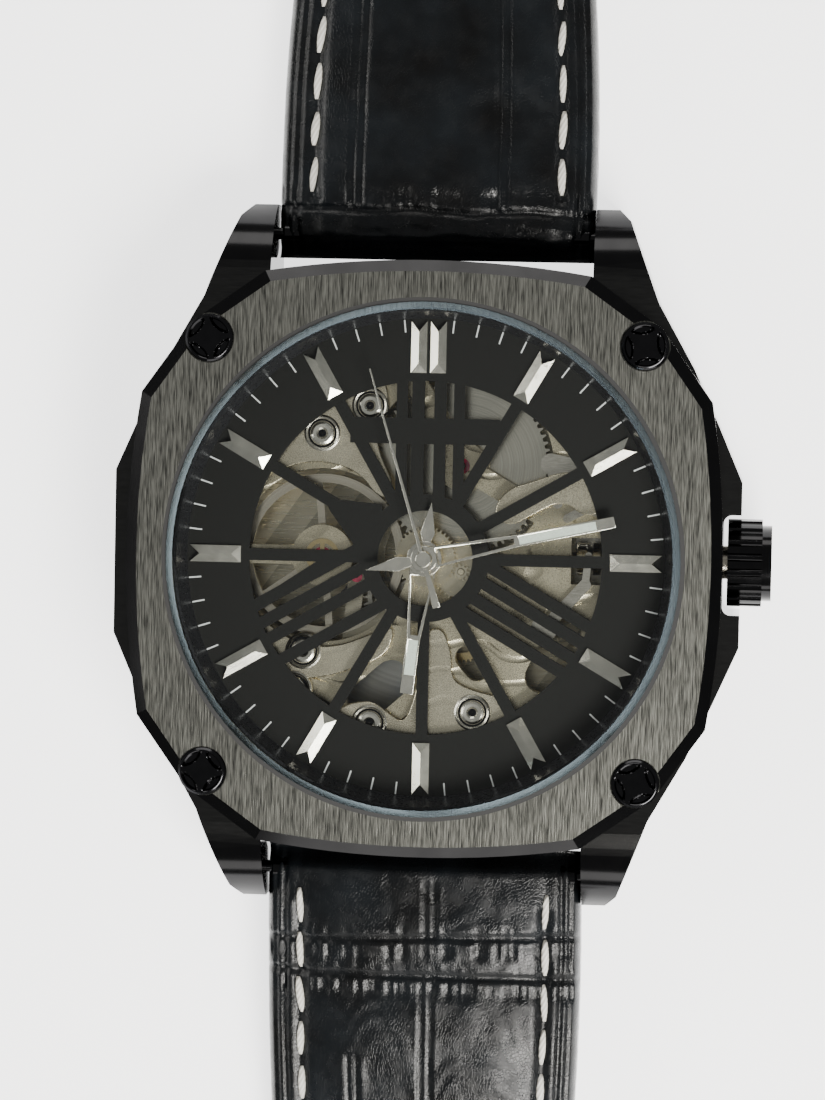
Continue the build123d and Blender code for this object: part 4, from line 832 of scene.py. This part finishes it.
    def build(self, cutters):
        """Loft the skin along its stations and punch it with the cutters."""
        across, fine = 116, 0.22
        stations = [-1.68, -1.6, -1.45, -1.25, -1.0, -0.75, -0.5, -0.25]
        s = 0.0
        while s < self.end - 0.3:
            stations.append(s)
            s += fine if s < 22 else fine * 1.8
        stations += [self.end - 0.25, self.end - 0.1, self.end - 0.02]
        verts, faces = [], []
        for s in stations:
            half = self.half_width(s) - 0.03
            shares = [2 * k / across - 1 for k in range(across + 1)]
            xs = [half * (0.35 * math.sin(math.pi / 2 * share * 0.999) + 0.65 * share) for share in shares]
            y = self.sign * (BAR_Y + s)
            verts += [(x, y, self.top_height(x, s)) for x in xs]
            verts += [(x, y, self.bottom_height(x, s)) for x in reversed(xs)]
        ring = 2 * (across + 1)
        for row in range(len(stations) - 1):
            for k in range(ring):
                a, b = row * ring + k, row * ring + (k + 1) % ring
                faces.append((a, b, b + ring, a + ring) if self.sign < 0 else (a + ring, b + ring, b, a))
        last = (len(stations) - 1) * ring
        for k in range(across):
            first_quad = (k, ring - 1 - k, ring - 2 - k, k + 1)
            last_quad = (last + k, last + k + 1, last + ring - 2 - k, last + ring - 1 - k)
            faces.append(first_quad if self.sign < 0 else first_quad[::-1])
            faces.append(last_quad if self.sign < 0 else last_quad[::-1])
        skin = mesh_object(self.name, verts, faces, smooth=True)
        punch(skin, cutters)
        finish_piece(skin, LEATHER, self.body)
        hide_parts(self.node)

    def stitches(self, first, last_s):
        """Two rows of twisted, spindle-shaped stitches lying in their groove."""
        verts, faces = [], []
        rings, sides = 9, 8
        s = first
        count = 0
        while s < last_s:
            for side in (-1, 1):
                lean = 0.22 * wavy(side * 3, s, 0.9, self.seed) + 0.04
                length = STITCH_LENGTH + 0.35 * wavy(s, side * 5, 1.3, self.seed + 1)
                thick = STITCH_RADIUS + 0.05 * wavy(s, side * 7, 1.1, self.seed + 2)
                base = len(verts)
                for r in range(rings):
                    t = r / (rings - 1)
                    along = s + length * t
                    row_x = side * (self.half_width(along) - STITCH_INSET)
                    x = row_x + lean * (t - 0.5) * 2
                    swell = max(math.sin(math.pi * (0.04 + 0.92 * t)), 0.05) ** 0.42
                    z = self.top_height(row_x, along) + 0.02 + 0.16 * math.sin(math.pi * t)
                    for k in range(sides):
                        angle = 2 * math.pi * k / sides + 1.4 * t
                        verts.append((x + thick * swell * math.cos(angle), self.sign * (BAR_Y + along),
                                      z + 0.8 * thick * swell * math.sin(angle)))
                for r in range(rings - 1):
                    for k in range(sides):
                        a, b = base + r * sides + k, base + r * sides + (k + 1) % sides
                        quad = (a, a + sides, b + sides, b)
                        faces.append(quad if self.sign > 0 else (a, b, b + sides, a + sides))
                start = tuple(base + k for k in range(sides))
                stop = tuple(base + (rings - 1) * sides + k for k in range(sides))
                faces.append(start if self.sign > 0 else start[::-1])
                faces.append(stop[::-1] if self.sign > 0 else stop)
            count += 1
            s = first + STITCH_PITCH * count
        thread = mesh_object(self.name + "_stitches", verts, faces, smooth=True)
        finish_piece(thread, THREAD, self.body)


CUT_LOW, CUT_HIGH = -1.0, 8.0
TONGUE_SLOT = [(-1.5, 94.5), (1.5, 94.5), (1.5, 99.5), (-1.5, 99.5)]
TOP_PROFILE = [(-BAR_ROLL, BAR_Z), (0, 6.0), (3, 6.05), (9, 5.35), (24, 3.95), (42, 3.5), (80, 3.45)]
UNDER_PROFILE = [(-BAR_ROLL, BAR_Z), (0, 2.6), (6.5, 0.8), (14, 0.02), (34, 0.02), (42, 1.2), (80, 1.2)]
strap_12 = Strap("strap_12_skin", "strap_12", "strap_12_body", 1, TOP_PROFILE, UNDER_PROFILE,
                 [(0, 10.93), (6, 10.95), (40, 9.1), (80, 8.98)], 1.7)
strap_12.build([prism(TONGUE_SLOT, CUT_LOW, CUT_HIGH)])
strap_12.stitches(2.9, strap_12.end - 24)
LONG_TOP = [(-BAR_ROLL, BAR_Z), (0, 6.0), (3, 6.0), (9, 5.2), (24, 3.5), (48, 2.3), (120, 2.25)]
LONG_UNDER = [(-BAR_ROLL, BAR_Z), (0, 2.6), (6.5, 0.8), (14, 0.02), (34, 0.02), (120, 0.02)]
strap_6 = Strap("strap_6_skin", "strap_6", "strap_6_body", -1, LONG_TOP, LONG_UNDER,
                [(0, 10.93), (6, 10.95), (53, 9.1), (120, 8.98)], 9.2)
hole_places = [-BAR_Y - HOLE_FIRST - HOLE_PITCH * index for index in range(HOLE_COUNT)]
strap_6.build([prism(circle_points(HOLE_RADIUS, 32, 0.0, y), CUT_LOW, CUT_HIGH) for y in hole_places])
strap_6.stitches(1.3, strap_6.end - 12)


# ---- Keepers: rounded leather loops with a stitched edge ----
KEEPER_WALL, KEEPER_CORNER = 1.0, 1.15
CORNER_SHARE = 0.3
CORNERS = ((1, 1), (-1, 1), (-1, -1), (1, -1))
EDGE_STITCHES, EDGE_PITCH, EDGE_LENGTH = 8, 2.05, 1.6
EDGE_RINGS, EDGE_SIDES = 7, 8


def loop_point(low, high, turn, inset, y):
    """A point on a keeper's outline: a flattened ring round the strap, inset from the CAD loop's box."""
    half_x = (high[0] - low[0]) / 2 - inset
    half_z = (high[2] - low[2]) / 2 - inset
    radius = max(KEEPER_CORNER - inset, 0.2)
    flat_x, flat_z = half_x - radius, half_z - radius
    corner = int(turn * 4) % 4
    share = (turn * 4) % 1.0
    signs = CORNERS[corner]
    if share < CORNER_SHARE:
        angle = math.pi / 2 * (corner + share / CORNER_SHARE)
        x = signs[0] * flat_x + radius * math.cos(angle)
        z = signs[1] * flat_z + radius * math.sin(angle)
    else:
        along = (share - CORNER_SHARE) / (1 - CORNER_SHARE)
        following = CORNERS[(corner + 1) % 4]
        angle = math.pi / 2 * (corner + 1)
        x = (signs[0] + (following[0] - signs[0]) * along) * flat_x + radius * math.cos(angle)
        z = (signs[1] + (following[1] - signs[1]) * along) * flat_z + radius * math.sin(angle)
    return (low[0] + high[0]) / 2 + x, y, (low[2] + high[2]) / 2 + z


def build_keeper(name, node, body, seed):
    """A padded leather band with crowned faces, edge creases and a line of stitches along each edge."""
    low, high = box_mm(node)
    rows, steps = 26, 240
    verts, faces = [], []
    for step in range(steps):
        turn = step / steps
        for side in range(2 * rows):
            across = side / (rows - 1) if side < rows else (2 * rows - 1 - side) / (rows - 1)
            outer = side < rows
            y = low[1] + (high[1] - low[1]) * (0.01 + 0.98 * across)
            edge = min(across, 1 - across) * (high[1] - low[1])
            rounding = 0.34 * (1 - math.sqrt(max(1 - (1 - min(edge / 0.4, 1)) ** 2, 0)))
            if outer:
                relief = groove(edge - 0.75, 0.16, 0.12) + 0.03 * wavy(30 * turn, y, 1.1, seed) - 0.03
                inset = 0.04 - relief + rounding
            else:
                inset = KEEPER_WALL - rounding * 0.6
            verts.append(loop_point(low, high, turn, inset, y))
    ring = 2 * rows
    for step in range(steps):
        for side in range(ring):
            a, b = step * ring + side, step * ring + (side + 1) % ring
            c, d = (step + 1) % steps * ring + (side + 1) % ring, (step + 1) % steps * ring + side
            faces.append((a, b, c, d))
    loop = mesh_object(name, verts, faces, smooth=True)
    finish_piece(loop, LEATHER, body)
    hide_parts(node)
    verts, faces = [], []
    for edge_y, inward in ((low[1], 1), (high[1], -1)):
        y = edge_y + 0.75 * inward
        for stitch in range(EDGE_STITCHES):
            x0 = low[0] + 2.0 + stitch * EDGE_PITCH
            base = len(verts)
            for r in range(EDGE_RINGS):
                t = r / (EDGE_RINGS - 1)
                swell = max(math.sin(math.pi * (0.08 + 0.84 * t)), 0.1) ** 0.6
                for k in range(EDGE_SIDES):
                    angle = 2 * math.pi * k / EDGE_SIDES
                    verts.append((x0 + EDGE_LENGTH * t, y + 0.17 * swell * math.cos(angle),
                                  high[2] - 0.17 + 0.13 * swell * math.sin(angle)))
            for r in range(EDGE_RINGS - 1):
                row = base + r * EDGE_SIDES
                for k in range(EDGE_SIDES):
                    a, b = row + k, row + (k + 1) % EDGE_SIDES
                    faces.append((a, b, b + EDGE_SIDES, a + EDGE_SIDES))
            end = base + (EDGE_RINGS - 1) * EDGE_SIDES
            faces.append(tuple(base + k for k in reversed(range(EDGE_SIDES))))
            faces.append(tuple(end + k for k in range(EDGE_SIDES)))
    finish_piece(mesh_object(name + "_stitches", verts, faces, smooth=True), THREAD, body)


build_keeper("keeper_fixed_loop", "keeper_fixed", "strap_12_body", 21.0)
build_keeper("keeper_free_loop", "keeper_free", "keeper_body", 33.0)


# ---- Stage, light and camera ----
FLOOR_HALF, FLOOR_Z = 4000.0, -0.02
floor_corners = ((-1, -1), (1, -1), (1, 1), (-1, 1))
floor = mesh_object("floor", [(x * FLOOR_HALF, y * FLOOR_HALF, FLOOR_Z) for x, y in floor_corners],
                    [(0, 1, 2, 3)])
floor_paper = new_material("floor_paper", (0.95, 0.95, 0.95), 0.0, 0.9,
                           Emission_Color=(1, 1, 1, 1), Emission_Strength=2.2)[0]
floor.data.materials.append(floor_paper)

# A dark disc painted as the shadow on the ground right under the case, where no light reaches; it shows only
# through the case back glass.
UNDER_CASE_RADIUS = 14.0
UNDER_CASE_Z = -0.01
under_points = circle_points(UNDER_CASE_RADIUS)
under_case_shadow = mesh_object("under_case_shadow", [(x, y, UNDER_CASE_Z) for x, y in under_points],
                         [tuple(range(len(under_points)))])
under_case_shadow.data.materials.append(new_material("floor_shade", (0.05, 0.05, 0.05), 0.0, 0.9)[0])

world = bpy.data.worlds.new("studio")
bpy.context.scene.world = world
world.use_nodes = True
world.node_tree.nodes["Background"].inputs["Color"].default_value = (1, 1, 1, 1)
world.node_tree.nodes["Background"].inputs["Strength"].default_value = 0.28


def area_light(name, place, size, power):
    """A soft rectangular light aimed at the origin, under the middle of the dial."""
    light = bpy.data.lights.new(name, "AREA")
    light.shape = "RECTANGLE"
    light.size, light.size_y = size[0] * MM, size[1] * MM
    light.energy = power
    light.color = (1.0, 0.975, 0.93)
    obj = bpy.data.objects.new(name, light)
    bpy.context.scene.collection.objects.link(obj)
    obj.location = Vector(place) * MM
    obj.rotation_euler = (-obj.location).to_track_quat("-Z", "Y").to_euler()


area_light("key", (165, -215, 315), (220, 160), 3.4)
area_light("left_fill", (-400, 40, 200), (300, 140), 0.8)
area_light("top_fill", (-40, 420, 160), (360, 120), 0.5)
area_light("bottom_fill", (60, -440, 120), (360, 100), 0.4)

# The camera stands almost straight above the dial, a little towards the crown and 12 o'clock.
CAMERA_DISTANCE = 262.0
LEAN_RIGHT, LEAN_UP, ROLL = 5.0, 3.0, 1.15
FILM_WIDTH, VIEW_WIDTH = 36.0, 56.1224
aim = Vector((-0.85, 0.55, DIAL_TOP)) * MM
direction = Vector((math.tan(math.radians(LEAN_RIGHT)), math.tan(math.radians(LEAN_UP)), 1)).normalized()
camera_data = bpy.data.cameras.new("camera")
camera = bpy.data.objects.new("camera", camera_data)
bpy.context.scene.collection.objects.link(camera)
camera.location = aim + direction * CAMERA_DISTANCE * MM
roll = math.radians(ROLL)
right = Vector((-math.sin(roll), math.cos(roll), 0)).cross(direction).normalized()
camera_axes = Matrix((right, direction.cross(right), direction)).transposed()
camera.rotation_euler = camera_axes.to_euler()
camera_data.sensor_fit = "HORIZONTAL"
camera_data.sensor_width = FILM_WIDTH
camera_data.lens = FILM_WIDTH * CAMERA_DISTANCE / VIEW_WIDTH
camera_data.clip_start = 0.01
camera_data.clip_end = 10.0
bpy.context.scene.camera = camera
